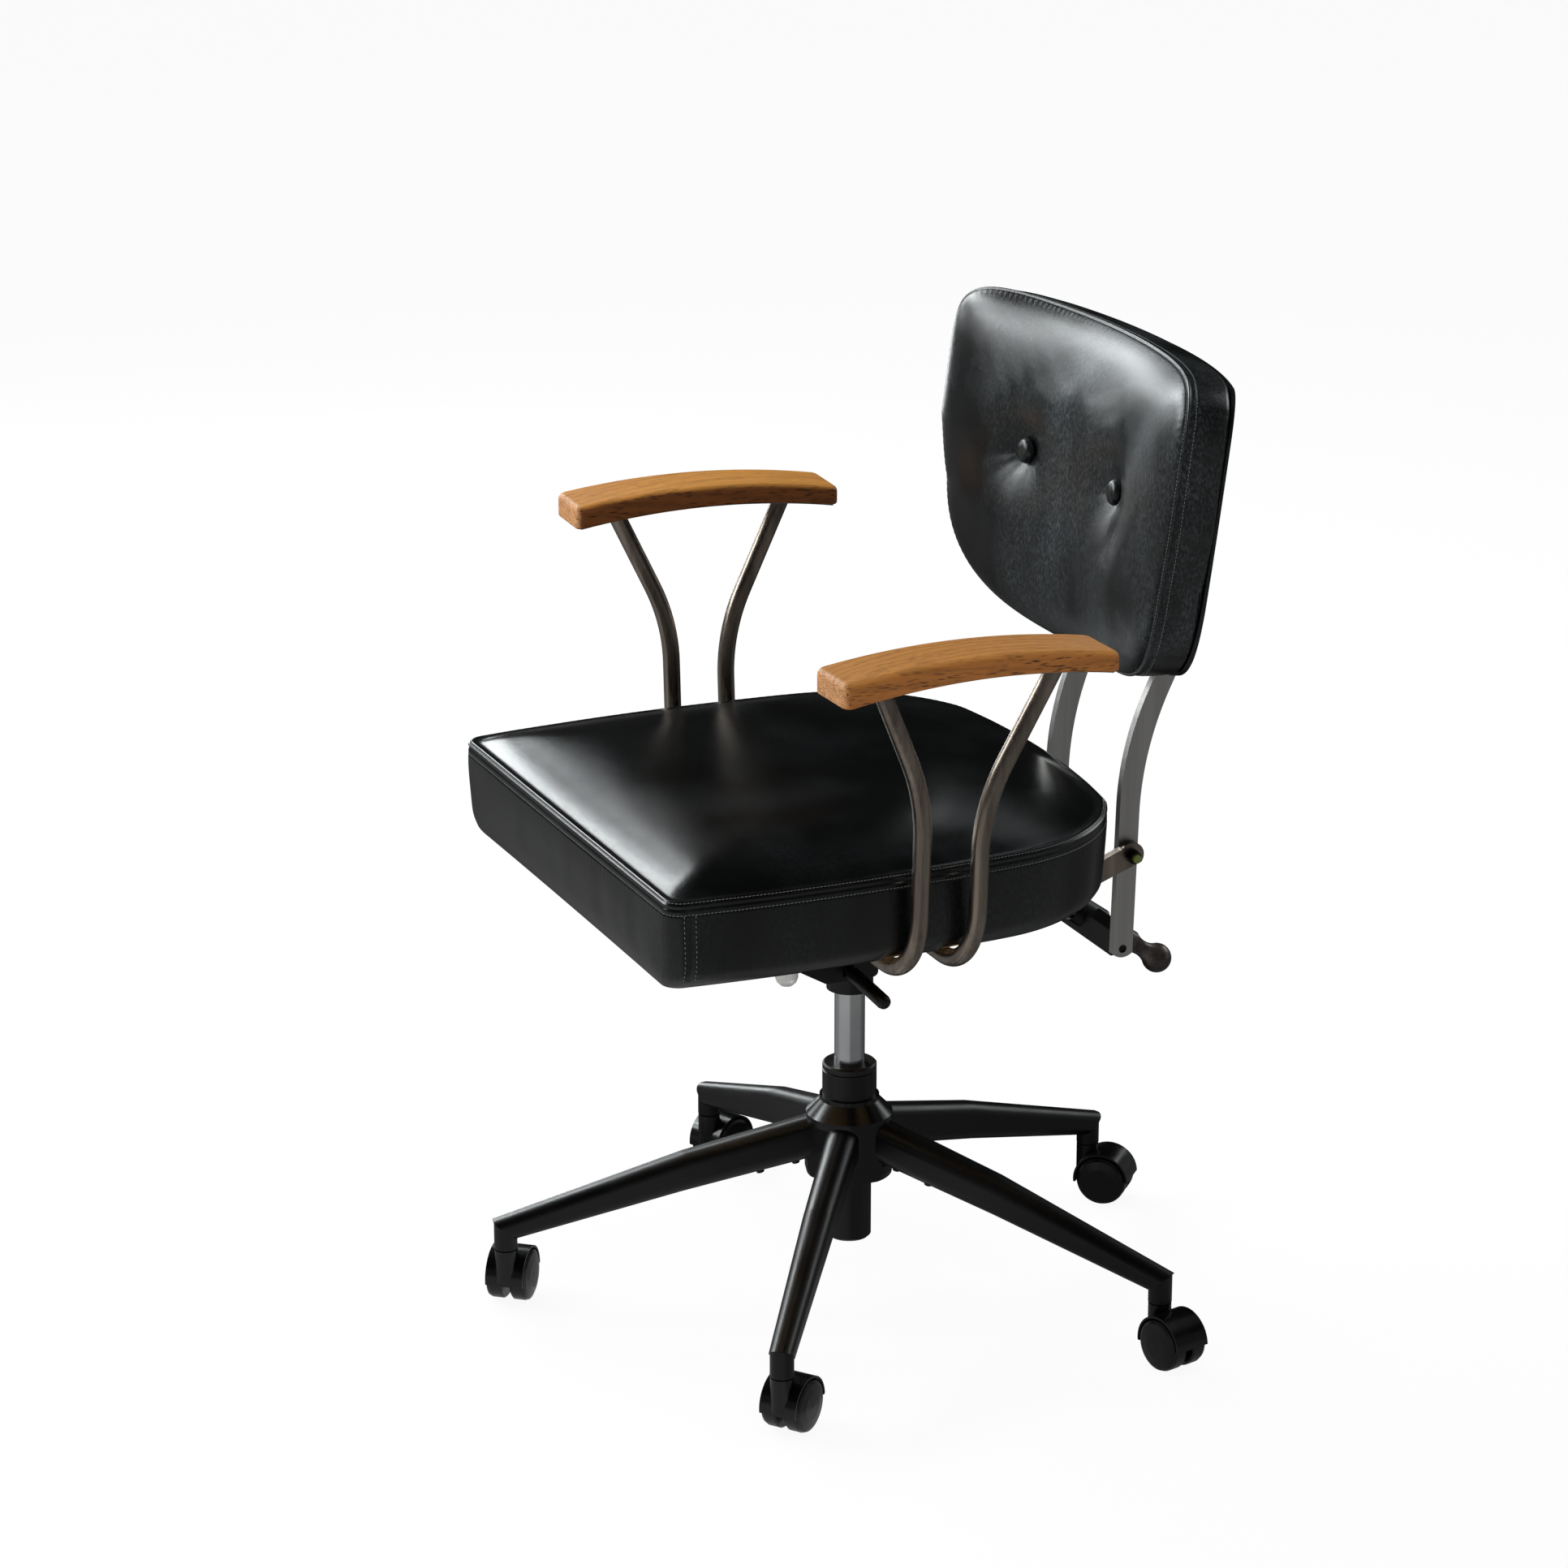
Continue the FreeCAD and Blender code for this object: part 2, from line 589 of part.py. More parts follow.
screw_hole = disc(housing, "XY_Plane", "friction_bore_outline", ("0", "friction_knob_y"),
                  "friction_screw_diameter + 2 * running_gap", "housing_belly_z - 20")
extrude(housing, "Pocket", "friction_bore", screw_hole, "60", reverse=True)

# Height lever: a rod with a rounded grip, rocking on a cross pin in the housing's side gate.
lever = turned("lever_handle", "XZ_Plane", [
    ("0", "0"),
    ("lever_rod_diameter / 2", "0"),
    ("lever_rod_diameter / 2", "lever_grip_x - lever_root_x"),
    ("lever_grip_diameter / 2", "lever_grip_x - lever_root_x + 2"),
    ("lever_grip_diameter / 2", "lever_tip_x - lever_root_x - 6"),
    ("lever_grip_diameter / 2 - 0.7", "lever_tip_x - lever_root_x - 3"),
    ("lever_grip_diameter / 2 - 2.2", "lever_tip_x - lever_root_x - 1"),
    ("lever_grip_diameter / 2 - 4.5", "lever_tip_x - lever_root_x"),
    ("0", "lever_tip_x - lever_root_x"),
])
cross_pin = disc(lever, "XZ_Plane", "lever_pin_outline", ("0", "0"), "lever_pin_diameter")
extrude(lever, "Pad", "lever_pin", cross_pin, "lever_pin_length", both=True)
lever.Placement = Placement(Vector(v("lever_root_x"), v("lever_y"), v("housing_belly_z") + v("lever_rise")),
                            Rotation(Vector(0, 1, 0), 90 + v("lever_droop")))

# Friction knob: a translucent domed knob on a short screw under the housing's nose.
turned("friction_knob", "XZ_Plane", [
    ("0", "friction_knob_bottom_z"),
    ("friction_knob_diameter / 2 - 5", "friction_knob_bottom_z + 0.7"),
    ("friction_knob_diameter / 2 - 1.5", "friction_knob_bottom_z + 4"),
    ("friction_knob_diameter / 2", "friction_knob_bottom_z + 8"),
    ("friction_knob_diameter / 2", "friction_knob_bottom_z + friction_knob_height"),
    ("friction_screw_diameter / 2", "friction_knob_bottom_z + friction_knob_height"),
    ("friction_screw_diameter / 2", "friction_knob_bottom_z + friction_knob_height + 22"),
    ("0", "friction_knob_bottom_z + friction_knob_height + 22"),
]).Placement = Placement(Vector(0, v("friction_knob_y"), 0), Rotation())


def seat_outline(inset, z, front_share=1.0, rear_share=1.0):
    """Closed seat outline, drawn in by an inset, at height z."""
    w = v("seat_half_width") - inset
    front = v("seat_front_y") + inset * front_share
    rear = v("seat_rear_y") - inset * rear_share
    share = w / v("seat_half_width")
    c = v("seat_front_corner") * share
    q = c * (1 - math.sqrt(0.5))
    flare = v("seat_side_flare") * share
    wide_y = (front + rear) / 2 + flare
    turn_y = rear - v("seat_rear_corner_length") * share
    half = [
        (Vector(w - flare - c, front, z), Vector(w - flare - q, front + q, z), Vector(w - flare, front + c, z)),
        (Vector(w - flare, front + c, z), Vector(w, wide_y, z), Vector(w - flare, turn_y, z)),
        (Vector(w - flare, turn_y, z), Vector(w - 41 * share, rear - 60 * share, z),
         Vector(w - v("seat_rear_corner_width") * share, rear - 13 * share, z)),
    ]
    edges = [Part.LineSegment(Vector(-half[0][0].x, front, z), half[0][0]).toShape()]
    for a, b, d in half:
        edges.append(Part.Arc(a, b, d).toShape())
    last = half[-1][2]
    edges.append(Part.Arc(last, Vector(0, rear, z), Vector(-last.x, last.y, z)).toShape())
    for a, b, d in reversed(half):
        flip = [Vector(-p.x, p.y, p.z) for p in (d, b, a)]
        edges.append(Part.Arc(flip[0], flip[1], flip[2]).toShape())
    return Part.Wire(edges)


# Seat: a plywood board under a boxed cushion with full sides, a seam and a crowned top.
board_z = v("plate_bottom_z") + v("plate_thickness")
board_face = Part.Face(seat_outline(v("seat_board_inset"), board_z))
board_top = v("seat_bottom_z") + 3
feature("seat_board", board_face.extrude(Vector(0, 0, board_top - board_z)))
seam = v("seat_seam_z")
low = v("seat_bottom_z")
boxing = Part.makeLoft([
    seat_outline(25, low, 0.3, 0.5),
    seat_outline(16, low + 6, 0.2, 0.35),
    seat_outline(4.8, low + 18, 0.3, 0.3),
    seat_outline(-1.5, low + 44, 2.0),
    seat_outline(0, seam),
], True, False)
crown = v("seat_crown")
top = Part.makeLoft([
    seat_outline(0, seam),
    seat_outline(9, seam + crown * 0.45, 1.0, 1.8),
    seat_outline(32, seam + crown * 0.8, 1.0, 2.0),
    seat_outline(85, seam + crown * 0.95, 1.0, 1.45),
    seat_outline(150, seam + crown * 0.99, 1.0, 1.1),
    seat_outline(v("seat_plateau_inset"), seam + crown),
], True, False)
recess = Part.Face(seat_outline(v("seat_board_inset") - v("cushion_gap"), board_z))
recess = recess.extrude(Vector(0, 0, board_top + v("cushion_gap") - board_z))
feature("seat_cushion", boxing.fuse(top).cut(recess))


def bend_path(points, radii):
    """Straight runs joined by tangent arcs of the given radii, as one wire."""
    edges = []
    start = points[0]
    for corner, radius, after in zip(points[1:-1], radii, points[2:]):
        back = (start - corner).normalize()
        ahead = (after - corner).normalize()
        half = (math.pi - back.getAngle(ahead)) / 2
        cut = radius * math.tan(half)
        middle = (back + ahead).normalize()
        centre = corner + middle * (radius / math.cos(half))
        first = corner + back * cut
        second = corner + ahead * cut
        edges.append(Part.LineSegment(start, first).toShape())
        edges.append(Part.Arc(first, centre - middle * radius, second).toShape())
        start = second
    edges.append(Part.LineSegment(start, points[-1]).toShape())
    return Part.Wire(edges)


def pipe(path, diameter):
    """Solid round bar along a path."""
    begin = path.OrderedVertexes[0].Point
    first = path.OrderedEdges[0]
    heading = first.tangentAt(first.FirstParameter)
    if (first.valueAt(first.FirstParameter) - begin).Length > 1e-6:
        heading = first.tangentAt(first.LastParameter) * -1
    ring = Part.Wire([Part.makeCircle(diameter / 2, begin, heading)])
    return path.makePipeShell([ring], True, False)


def mirrored(shape):
    return shape.mirror(Vector(0, 0, 0), Vector(1, 0, 0))


# Arms: set off from the seat's side, two bent steel tubes carry a bowed flat plate with a wooden rest screwed on top.
seat_side = v("seat_half_width")
front_x = seat_side + v("arm_front_out")
arc_r = v("rest_plate_radius")
arc_y = v("rest_plate_apex_y")
arc_z = v("rest_plate_apex_z")


def rest_arc(y, rise):
    """Height at y of an arc that stands off the bowed plate's underside by rise."""
    return arc_z - arc_r + math.sqrt((arc_r + rise) ** 2 - (y - arc_y) ** 2)


def bowed(front, rear, width, lift_low, top_radius, top_y, top_z):
    """Bar bowed in side view between two arcs, centred on x = 0."""
    def high(y):
        return top_z - top_radius + math.sqrt(top_radius ** 2 - (y - top_y) ** 2)
    mid = (front + rear) / 2
    a = Vector(-width / 2, front, rest_arc(front, lift_low))
    b = Vector(-width / 2, mid, rest_arc(mid, lift_low))
    c = Vector(-width / 2, rear, rest_arc(rear, lift_low))
    d = Vector(-width / 2, rear, high(rear))
    e = Vector(-width / 2, mid, high(mid))
    f = Vector(-width / 2, front, high(front))
    ring = Part.Wire([Part.Arc(a, b, c).toShape(), Part.LineSegment(c, d).toShape(),
                      Part.Arc(d, e, f).toShape(), Part.LineSegment(f, a).toShape()])
    return Part.Face(ring).extrude(Vector(width, 0, 0))


toe = Rotation(Vector(0, 0, 1), v("arm_toe"))
arm_frame = Placement(Vector(front_x, 0, 0), Rotation()) * Placement(
    Vector(0, v("arm_front_y"), 0), toe) * Placement(Vector(0, -v("arm_front_y"), 0), Rotation())
thick = v("rest_plate_thickness")
plate = bowed(v("rest_plate_front_y"), v("rest_plate_rear_y"), v("rest_plate_width"), 0,
              arc_r + thick, arc_y, arc_z + thick)
wood = bowed(v("rest_front_y"), v("rest_rear_y"), v("rest_width"), thick,
             v("rest_top_radius"), v("rest_top_apex_y"), v("rest_top_apex_z"))
uprights = [e for e in wood.Edges if abs(e.Vertexes[0].X - e.Vertexes[1].X) < 0.01
            and abs(e.Vertexes[0].Y - e.Vertexes[1].Y) < 0.01]
wood = wood.makeFillet(v("rest_corner"), uprights)
top_face = max(wood.Faces, key=lambda f: f.CenterOfMass.z)
wood = wood.makeFillet(v("rest_edge_round"), top_face.Edges)
low_face = min(wood.Faces, key=lambda f: f.CenterOfMass.z)
wood = wood.makeFillet(2.5, low_face.Edges)
plate.Placement = arm_frame
wood.Placement = arm_frame
top_limit = bowed(v("rest_front_y") - 40, v("rest_rear_y") + 40, v("rest_width") * 2, 0,
                  v("rest_top_radius"), v("rest_top_apex_y"), v("rest_top_apex_z") + 40)
top_limit.Placement = arm_frame
tube_z = v("plate_bottom_z") - v("arm_tube_diameter") / 2
rear_x = front_x - (v("arm_rear_y") - v("arm_front_y")) * math.tan(math.radians(v("arm_toe")))


def arm_tube(top_x, top_y, drop_y, knee_x, knee_z, foot_x):
    """Tube from the rest plate, down, and in under the seat, trimmed to the plate."""
    high = rest_arc(top_y, 0)
    lean = (top_y - drop_y) / (high - knee_z)
    points = [Vector(top_x, top_y + lean * 6, high + 6), Vector(knee_x, drop_y, knee_z),
              Vector(foot_x, drop_y, tube_z), Vector(v("arm_inner_end_x"), drop_y, tube_z)]
    path = bend_path(points, (v("arm_knee_bend"), v("arm_foot_bend")))
    outer = pipe(path, v("arm_tube_diameter"))
    return outer.cut(top_limit)


front_tube = arm_tube(front_x, v("arm_front_y"), v("arm_front_drop_y"), seat_side + v("arm_front_knee_out"),
                      v("arm_front_knee_z"), seat_side + v("arm_front_foot_out"))
rear_tube = arm_tube(rear_x, v("arm_rear_y"), v("arm_rear_drop_y"), seat_side + v("arm_rear_knee_out"),
                     v("arm_rear_knee_z"), seat_side + v("arm_rear_foot_out"))
pad_x = v("top_plate_width") / 2 + v("arm_pad_plate_gap")
pad = Part.makeBox(seat_side - v("arm_pad_plate_inset") - pad_x, v("arm_pad_plate_rear_y") - v("arm_pad_plate_front_y"),
                   v("plate_thickness"), Vector(pad_x, v("arm_pad_plate_front_y"), v("plate_bottom_z")))
screws = []
for y in (v("arm_front_y"), v("arm_rear_y")):
    for offset in (-v("rest_screw_offset"), v("rest_screw_offset")):
        across = y + offset - arc_y
        lean = -math.degrees(math.atan2(across, math.sqrt(arc_r ** 2 - across ** 2)))
        pose = Placement(Vector(0, arc_y, arc_z - arc_r), Rotation(Vector(1, 0, 0), lean))
        screw = Part.makeCone(2.6, v("rest_screw_head") / 2, v("rest_screw_height"),
                              Vector(0, 0, arc_r - v("rest_screw_height") - v("rest_screw_gap")))
        screw.Placement = arm_frame * pose
        screws.append(screw)
arm_screws = Part.makeCompound(screws)
for side, flip in (("left", lambda s: s), ("right", mirrored)):
    feature("arm_tube_front_" + side, flip(front_tube))
    feature("arm_tube_rear_" + side, flip(rear_tube))
    feature("arm_plate_" + side, flip(plate))
    feature("armrest_" + side, flip(wood))
feature("arm_mounts", Part.makeCompound([pad, mirrored(pad)]))
feature("arm_screws", Part.makeCompound([arm_screws, mirrored(arm_screws)]))

# Hinge brackets: flat plates outside the uprights that run back from under the seat to the pivot.
outer_x = v("upright_inner_x") + v("upright_thickness") + v("pivot_gap")
py = v("pivot_y")
pz = v("pivot_z")
er = v("bracket_end_radius")
b_low = v("plate_bottom_z") - v("bracket_drop")
far = v("seat_rear_y") + 14
bracket_wire = Part.Wire([
    Part.LineSegment(Vector(outer_x, v("bracket_front_y"), v("plate_bottom_z")),
                     Vector(outer_x, far - 14, v("plate_bottom_z"))).toShape(),
    Part.Arc(Vector(outer_x, far - 14, v("plate_bottom_z")), Vector(outer_x, far + 5, v("plate_bottom_z") + 8),
             Vector(outer_x, py - er * 0.8, pz + er * 0.6)).toShape(),
    Part.Arc(Vector(outer_x, py - er * 0.8, pz + er * 0.6), Vector(outer_x, py + er * 0.6, pz + er * 0.8),
             Vector(outer_x, py + er * 0.8, pz - er * 0.6)).toShape(),
    Part.Arc(Vector(outer_x, py + er * 0.8, pz - er * 0.6), Vector(outer_x, far + 8, b_low + 13),
             Vector(outer_x, far - 26, b_low)).toShape(),
    Part.LineSegment(Vector(outer_x, far - 26, b_low), Vector(outer_x, v("bracket_front_y") + 18, b_low)).toShape(),
    Part.LineSegment(Vector(outer_x, v("bracket_front_y") + 18, b_low),
                     Vector(outer_x, v("bracket_front_y"), v("plate_bottom_z"))).toShape(),
])
bracket = Part.Face(bracket_wire).extrude(Vector(v("bracket_thickness"), 0, 0))
bolt_r = v("pivot_bolt_diameter") / 2
bracket = bracket.cut(Part.makeCylinder(bolt_r, 60, Vector(outer_x - 20, py, pz), Vector(1, 0, 0)))

# Pivot bolts with lock nuts: head inside the upright, nut outside the bracket.
bolt_in = v("upright_inner_x") - v("pivot_gap")
bolt_out = outer_x + v("bracket_thickness") + v("nut_height") + v("bolt_tail")
bolt = Part.makeCylinder(bolt_r, bolt_out - bolt_in, Vector(bolt_in, py, pz), Vector(1, 0, 0))
head_h = v("pivot_bolt_head_height")
bolt = bolt.fuse(Part.makeCylinder(v("pivot_bolt_head") / 2, head_h, Vector(bolt_in - head_h, py, pz), Vector(1, 0, 0)))
nut_x = outer_x + v("bracket_thickness")
corner_r = v("nut_diameter") / 2
hexagon = [Vector(nut_x, py + corner_r * math.cos(math.radians(60 * k)), pz + corner_r * math.sin(math.radians(60 * k)))
           for k in range(7)]
nut = Part.Face(Part.makePolygon(hexagon)).extrude(Vector(v("nut_height") * 0.65, 0, 0))
nut = nut.fuse(Part.makeCylinder(corner_r * 0.86, v("nut_height"), Vector(nut_x, py, pz), Vector(1, 0, 0)))
nut = nut.cut(bolt)
feature("hinge_bracket_left", bracket)
feature("hinge_bracket_right", mirrored(bracket))
feature("hinge_bolts", Part.makeCompound([bolt, nut, mirrored(bolt), mirrored(nut)]))

# Strut line: from the anchor under the seat, down and back through the crossbar to the ball knob.
slant = math.radians(v("strut_angle"))
along = Vector(0, math.cos(slant), -math.sin(slant))
bar_y = v("upright_foot_y") + 1.0
cross = Vector(0, bar_y, v("crossbar_z") + v("strut_rise"))
reach_back = (bar_y - v("strut_anchor_y")) / math.cos(slant)
anchor = cross - along * reach_back
to_strut = Rotation(Vector(0, 0, 1), along)


def on_strut(radius, begin, end):
    """Round bar on the strut line, between two distances from the crossbar's centre."""
    return Part.makeCylinder(radius, end - begin, cross + along * begin, along)


# Anchor: two cheeks under the top plate with a pin through the strut's eye.
cheek_gap = v("anchor_width") / 2 + v("pivot_gap")
cheek_r = v("anchor_eye_radius")
pin_r = v("anchor_pin_diameter") / 2
cheeks = []
for sign in (1, -1):
    inner = sign * cheek_gap
    x0 = min(inner, inner + sign * v("anchor_cheek"))
    block = Part.makeBox(v("anchor_cheek"), 2 * cheek_r, v("plate_bottom_z") - anchor.z,
                         Vector(x0, anchor.y - cheek_r, anchor.z))
    round_end = Part.makeCylinder(cheek_r, v("anchor_cheek"), Vector(x0, anchor.y, anchor.z), Vector(1, 0, 0))
    cheeks.append(block.fuse(round_end))
pin_length = 2 * (cheek_gap + v("anchor_cheek"))
pin = Part.makeCylinder(pin_r, pin_length, Vector(-pin_length / 2, anchor.y, anchor.z), Vector(1, 0, 0))
feature("strut_anchor", cheeks[0].fuse(cheeks[1]).fuse(pin))

# Strut rod: an eye on the anchor pin, a collar for the spring, and a plain rod to the knob.
eye = Part.makeCylinder(cheek_r - 0.5, v("anchor_width"), Vector(-v("anchor_width") / 2, anchor.y, anchor.z),
                        Vector(1, 0, 0))
ball_at = v("ball_offset")
rod = on_strut(v("rod_diameter") / 2, -reach_back, ball_at - 8)
collar_at = -reach_back + v("collar_offset")
collar = on_strut(v("collar_diameter") / 2, collar_at, collar_at + v("collar_thickness"))
rod = eye.fuse(rod).fuse(collar)
rod = rod.cut(Part.makeCylinder(pin_r + v("running_gap"), 60, Vector(-30, anchor.y, anchor.z), Vector(1, 0, 0)))
feature("strut_rod", rod)

# Spring: one unbroken wire of half-turn arcs between the collar and the crossbar's saddle.
wire = v("spring_wire")
mean_r = v("spring_mean_diameter") / 2
spring_from = collar_at + v("collar_thickness") + v("cushion_gap")
spring_to = -v("saddle_half_length") - v("cushion_gap")
lead = wire
rise = spring_to - spring_from - wire
halves = int(round(v("spring_turns") * 2))
step = rise / halves


def helix_point(k):
    """Point of the wire's centre line after k half turns, in the spring's own frame."""
    return Vector(mean_r * math.cos(math.pi * k), mean_r * math.sin(math.pi * k), wire / 2 + step * k)


arcs = []
for k in range(halves):
    a = helix_point(k)
    b = helix_point(k + 0.5)
    c = helix_point(k + 1)
    arcs.append(Part.Arc(a, b, c).toShape())
samples = [helix_point(k / 12.0) for k in range(halves * 12 + 1)]
least = min((samples[i] - samples[j]).Length for i in range(len(samples)) for j in range(i + 16, len(samples)))
print("spring: least gap to itself %.2f mm" % (least - wire))
spring_path = Part.Wire(arcs)
coil = pipe(spring_path, wire)
coil.Placement = Placement(cross + along * spring_from, to_strut)
feature("strut_spring", coil)

# Ball knob: a sleeve that bears on the crossbar's saddle, a hollowed neck and a ball.
ball_r = v("ball_diameter") / 2
sleeve_r = v("ball_sleeve_diameter") / 2
sleeve_at = v("saddle_half_length") + v("cushion_gap")
neck_r = v("ball_neck_diameter") / 2
profile = [
    Part.LineSegment(Vector(0, 0, sleeve_at), Vector(sleeve_r, 0, sleeve_at)).toShape(),
    Part.LineSegment(Vector(sleeve_r, 0, sleeve_at), Vector(sleeve_r, 0, ball_at - 34)).toShape(),
    Part.Arc(Vector(sleeve_r, 0, ball_at - 34), Vector(neck_r, 0, ball_at - 21),
             Vector(ball_r * 0.8, 0, ball_at - ball_r * 0.6)).toShape(),
    Part.Arc(Vector(ball_r * 0.8, 0, ball_at - ball_r * 0.6), Vector(ball_r, 0, ball_at),
             Vector(0, 0, ball_at + ball_r)).toShape(),
    Part.LineSegment(Vector(0, 0, ball_at + ball_r), Vector(0, 0, sleeve_at)).toShape(),
]
knob = Part.Face(Part.Wire(profile)).revolve(Vector(0, 0, 0), Vector(0, 0, 1), 360)
knob = knob.cut(Part.makeCylinder(v("rod_diameter") / 2 + v("running_gap"), ball_at - 7.9, Vector(0, 0, 0)))
knob.Placement = Placement(cross, to_strut)
feature("ball_knob", knob)

# Uprights: flat bars on edge, straight at the foot, bent back, then bent up along the back shell.
tilt = math.radians(v("back_tilt"))
lean = math.radians(v("upright_lean"))
wrap = v("back_wrap_radius")
depth = v("upright_depth")


def wrapped(x):
    """How far the backrest's curve has come forward at x."""
    return wrap - math.sqrt(wrap ** 2 - x ** 2)


def back_point(x, deep, up):
    """Point of the backrest's own frame, set up in the chair's frame."""
    return Vector(x, v("back_centre_y") + deep * math.cos(tilt) + up * math.sin(tilt),
                  v("back_centre_z") - deep * math.sin(tilt) + up * math.cos(tilt))


shell_back = v("back_band") + v("shell_thickness")
shell_fall = v("shell_wrap_radius") - math.sqrt(v("shell_wrap_radius") ** 2 - v("upright_inner_x") ** 2)
bar_deep = shell_back - shell_fall + v("cushion_gap") + depth / 2
foot = Vector(0, v("upright_foot_y"), v("upright_foot_z"))
knee = Vector(0, v("upright_bend_y"), v("upright_bend_z"))
rising = Vector(0, math.sin(tilt), math.cos(tilt))
base_point = back_point(0, bar_deep, 0)
leaning = Vector(0, math.sin(lean), math.cos(lean))
offset = base_point - knee
spread = leaning.y * rising.z - leaning.z * rising.y
bend_length = (offset.y * rising.z - offset.z * rising.y) / spread
shoulder = knee + leaning * bend_length
bar_end = shoulder + rising * v("upright_top_length")
bar_path = bend_path([foot, knee, shoulder, bar_end], (v("upright_bend_radius"), v("upright_top_bend_radius")))
half_sides = []
for sign in (1, -1):
    points = []
    corners = [foot, knee, shoulder, bar_end]
    directions = [(b - a).normalize() for a, b in zip(corners, corners[1:])]
    normals = [Vector(0, d.z, -d.y) for d in directions]
    points.append(corners[0] + normals[0] * sign * depth / 2)
    for i in (1, 2):
        both = (normals[i - 1] + normals[i]).normalize()
        scale = depth / 2 / both.dot(normals[i])
        points.append(corners[i] + both * sign * scale)
    points.append(corners[3] + normals[2] * sign * depth / 2)
    radii = (v("upright_bend_radius") + sign * depth / 2, v("upright_top_bend_radius") - sign * depth / 2)
    half_sides.append(bend_path(points, radii))
rear_edge, front_edge = half_sides
rear_points = [rear_edge.OrderedVertexes[0].Point, rear_edge.OrderedVertexes[-1].Point]
front_points = [front_edge.OrderedVertexes[0].Point, front_edge.OrderedVertexes[-1].Point]
tip_mid = bar_end + rising * (depth / 2)
foot_mid = foot - (knee - foot).normalize() * 4
outline_edges = list(rear_edge.Edges) + list(front_edge.Edges)
outline_edges.append(Part.Arc(rear_points[1], tip_mid, front_points[1]).toShape())
outline_edges.append(Part.Arc(rear_points[0], foot_mid, front_points[0]).toShape())
bar_wire = Part.Wire(Part.__sortEdges__(outline_edges))
bar = Part.Face(bar_wire).extrude(Vector(v("upright_thickness"), 0, 0))
bar.translate(Vector(v("upright_inner_x"), 0, 0))
bar = bar.cut(Part.makeCylinder(bolt_r + v("running_gap"), 60, Vector(40, py, pz), Vector(1, 0, 0)))
cross_bolt_r = v("crossbar_bolt_diameter") / 2
cross_bolt_z = v("crossbar_z") - 3.7
bolt_hole = Part.makeCylinder(cross_bolt_r, 60, Vector(v("upright_inner_x") - 14, bar_y - 1, cross_bolt_z), Vector(1, 0, 0))
bar = bar.cut(bolt_hole)
for side, flip in (("left", lambda s: s), ("right", mirrored)):
    feature("upright_" + side, flip(bar))

# Crossbar: a square-edged bar between the uprights with a slanted saddle for the strut.
span = 2 * v("upright_inner_x")
beam = Part.makeBox(span, v("crossbar_depth"), v("crossbar_height"),
                    Vector(-span / 2, bar_y - v("crossbar_depth") / 2, v("crossbar_z") - v("crossbar_height") / 2))
saddle = on_strut(v("saddle_diameter") / 2, -v("saddle_half_length"), v("saddle_half_length"))
slot = on_strut(v("rod_slot") / 2, -60, 60)
feature("crossbar", beam.fuse(saddle).cut(slot).cut(bolt_hole).cut(mirrored(bolt_hole)))
cross_bolt = Part.makeCylinder(cross_bolt_r, 14 + v("upright_thickness") - 1.5,
                               Vector(v("upright_inner_x") - 14, bar_y - 1, cross_bolt_z), Vector(1, 0, 0))
feature("crossbar_bolts", Part.makeCompound([cross_bolt, mirrored(cross_bolt)]))


def back_section(up, half, crown_here, draft):
    """Near-level section of the back cushion: crowned front, side bands and wrapped rear."""
    def at(x, deep):
        return Vector(x, deep, up - draft * deep)
    shoulder_w = min(v("back_shoulder"), half * 0.4)
    edge = -wrapped(half)
    s = half - shoulder_w
    m = half - shoulder_w * 0.5
    rear_x = half - 2
    rear_y = edge + v("back_band")
    front_s = -wrapped(s) - crown_here * 0.86
    front_m = -wrapped(m) - crown_here * 0.5
    front_right = Part.Arc(at(half, edge), at(m, front_m), at(s, front_s))
    front = Part.Arc(at(s, front_s), at(0, -crown_here), at(-s, front_s))
    front_left = Part.Arc(at(-s, front_s), at(-m, front_m), at(-half, edge))
    left = Part.LineSegment(at(-half, edge), at(-rear_x, rear_y))
    rear = Part.Arc(at(-rear_x, rear_y), at(0, v("back_band")), at(rear_x, rear_y))
    right = Part.LineSegment(at(rear_x, rear_y), at(half, edge))
    return Part.Wire([e.toShape() for e in (front_right, front, front_left, left, rear, right)])


def back_half_width(up):
    """Half width of the backrest at a height above or below its centre."""
    if up >= 0:
        return v("back_half_width") * (1 - (up / v("back_up")) ** 8) ** 0.125
    share = (1 - (-up / v("back_down")) ** 3.3) ** (1 / 3.3)
    return v("back_half_width") + (v("back_foot_half_width") * share - v("back_half_width")) * min(1, -up / 60)


# Back cushion: lofted up through its sections, with two tufted dimples for the buttons.
top_up = v("back_up")
low_up = v("back_down")
heights = [-0.99 * low_up, -0.95 * low_up, -0.86 * low_up, -0.7 * low_up, -0.42 * low_up, 0.1 * top_up,
           0.6 * top_up, 0.85 * top_up, 0.95 * top_up, 0.99 * top_up]
sections = []
for up in heights:
    end = top_up if up > 0 else low_up
    bulge = v("back_crown") * (1 - (abs(up) / end) ** 2.6) ** 0.5 + 2
    draft = v("back_draft") * max(0, up / top_up) ** 2
    sections.append(back_section(up, back_half_width(up), bulge, draft))
back_pose = Placement(Vector(0, v("back_centre_y"), v("back_centre_z")), Rotation(Vector(1, 0, 0), -v("back_tilt")))
back = Part.makeLoft(sections, True, False)
button_front = -v("button_depth") - wrapped(v("button_x"))
dimple_r = v("dimple_radius")
button_places = ((v("button_x"), 0), (-v("button_x"), -v("button_drop_right")))
for across, up in button_places:
    at = Vector(across, button_front + v("button_thickness") - dimple_r, up)
    back = back.cut(Part.makeSphere(dimple_r, at))
back.Placement = back_pose
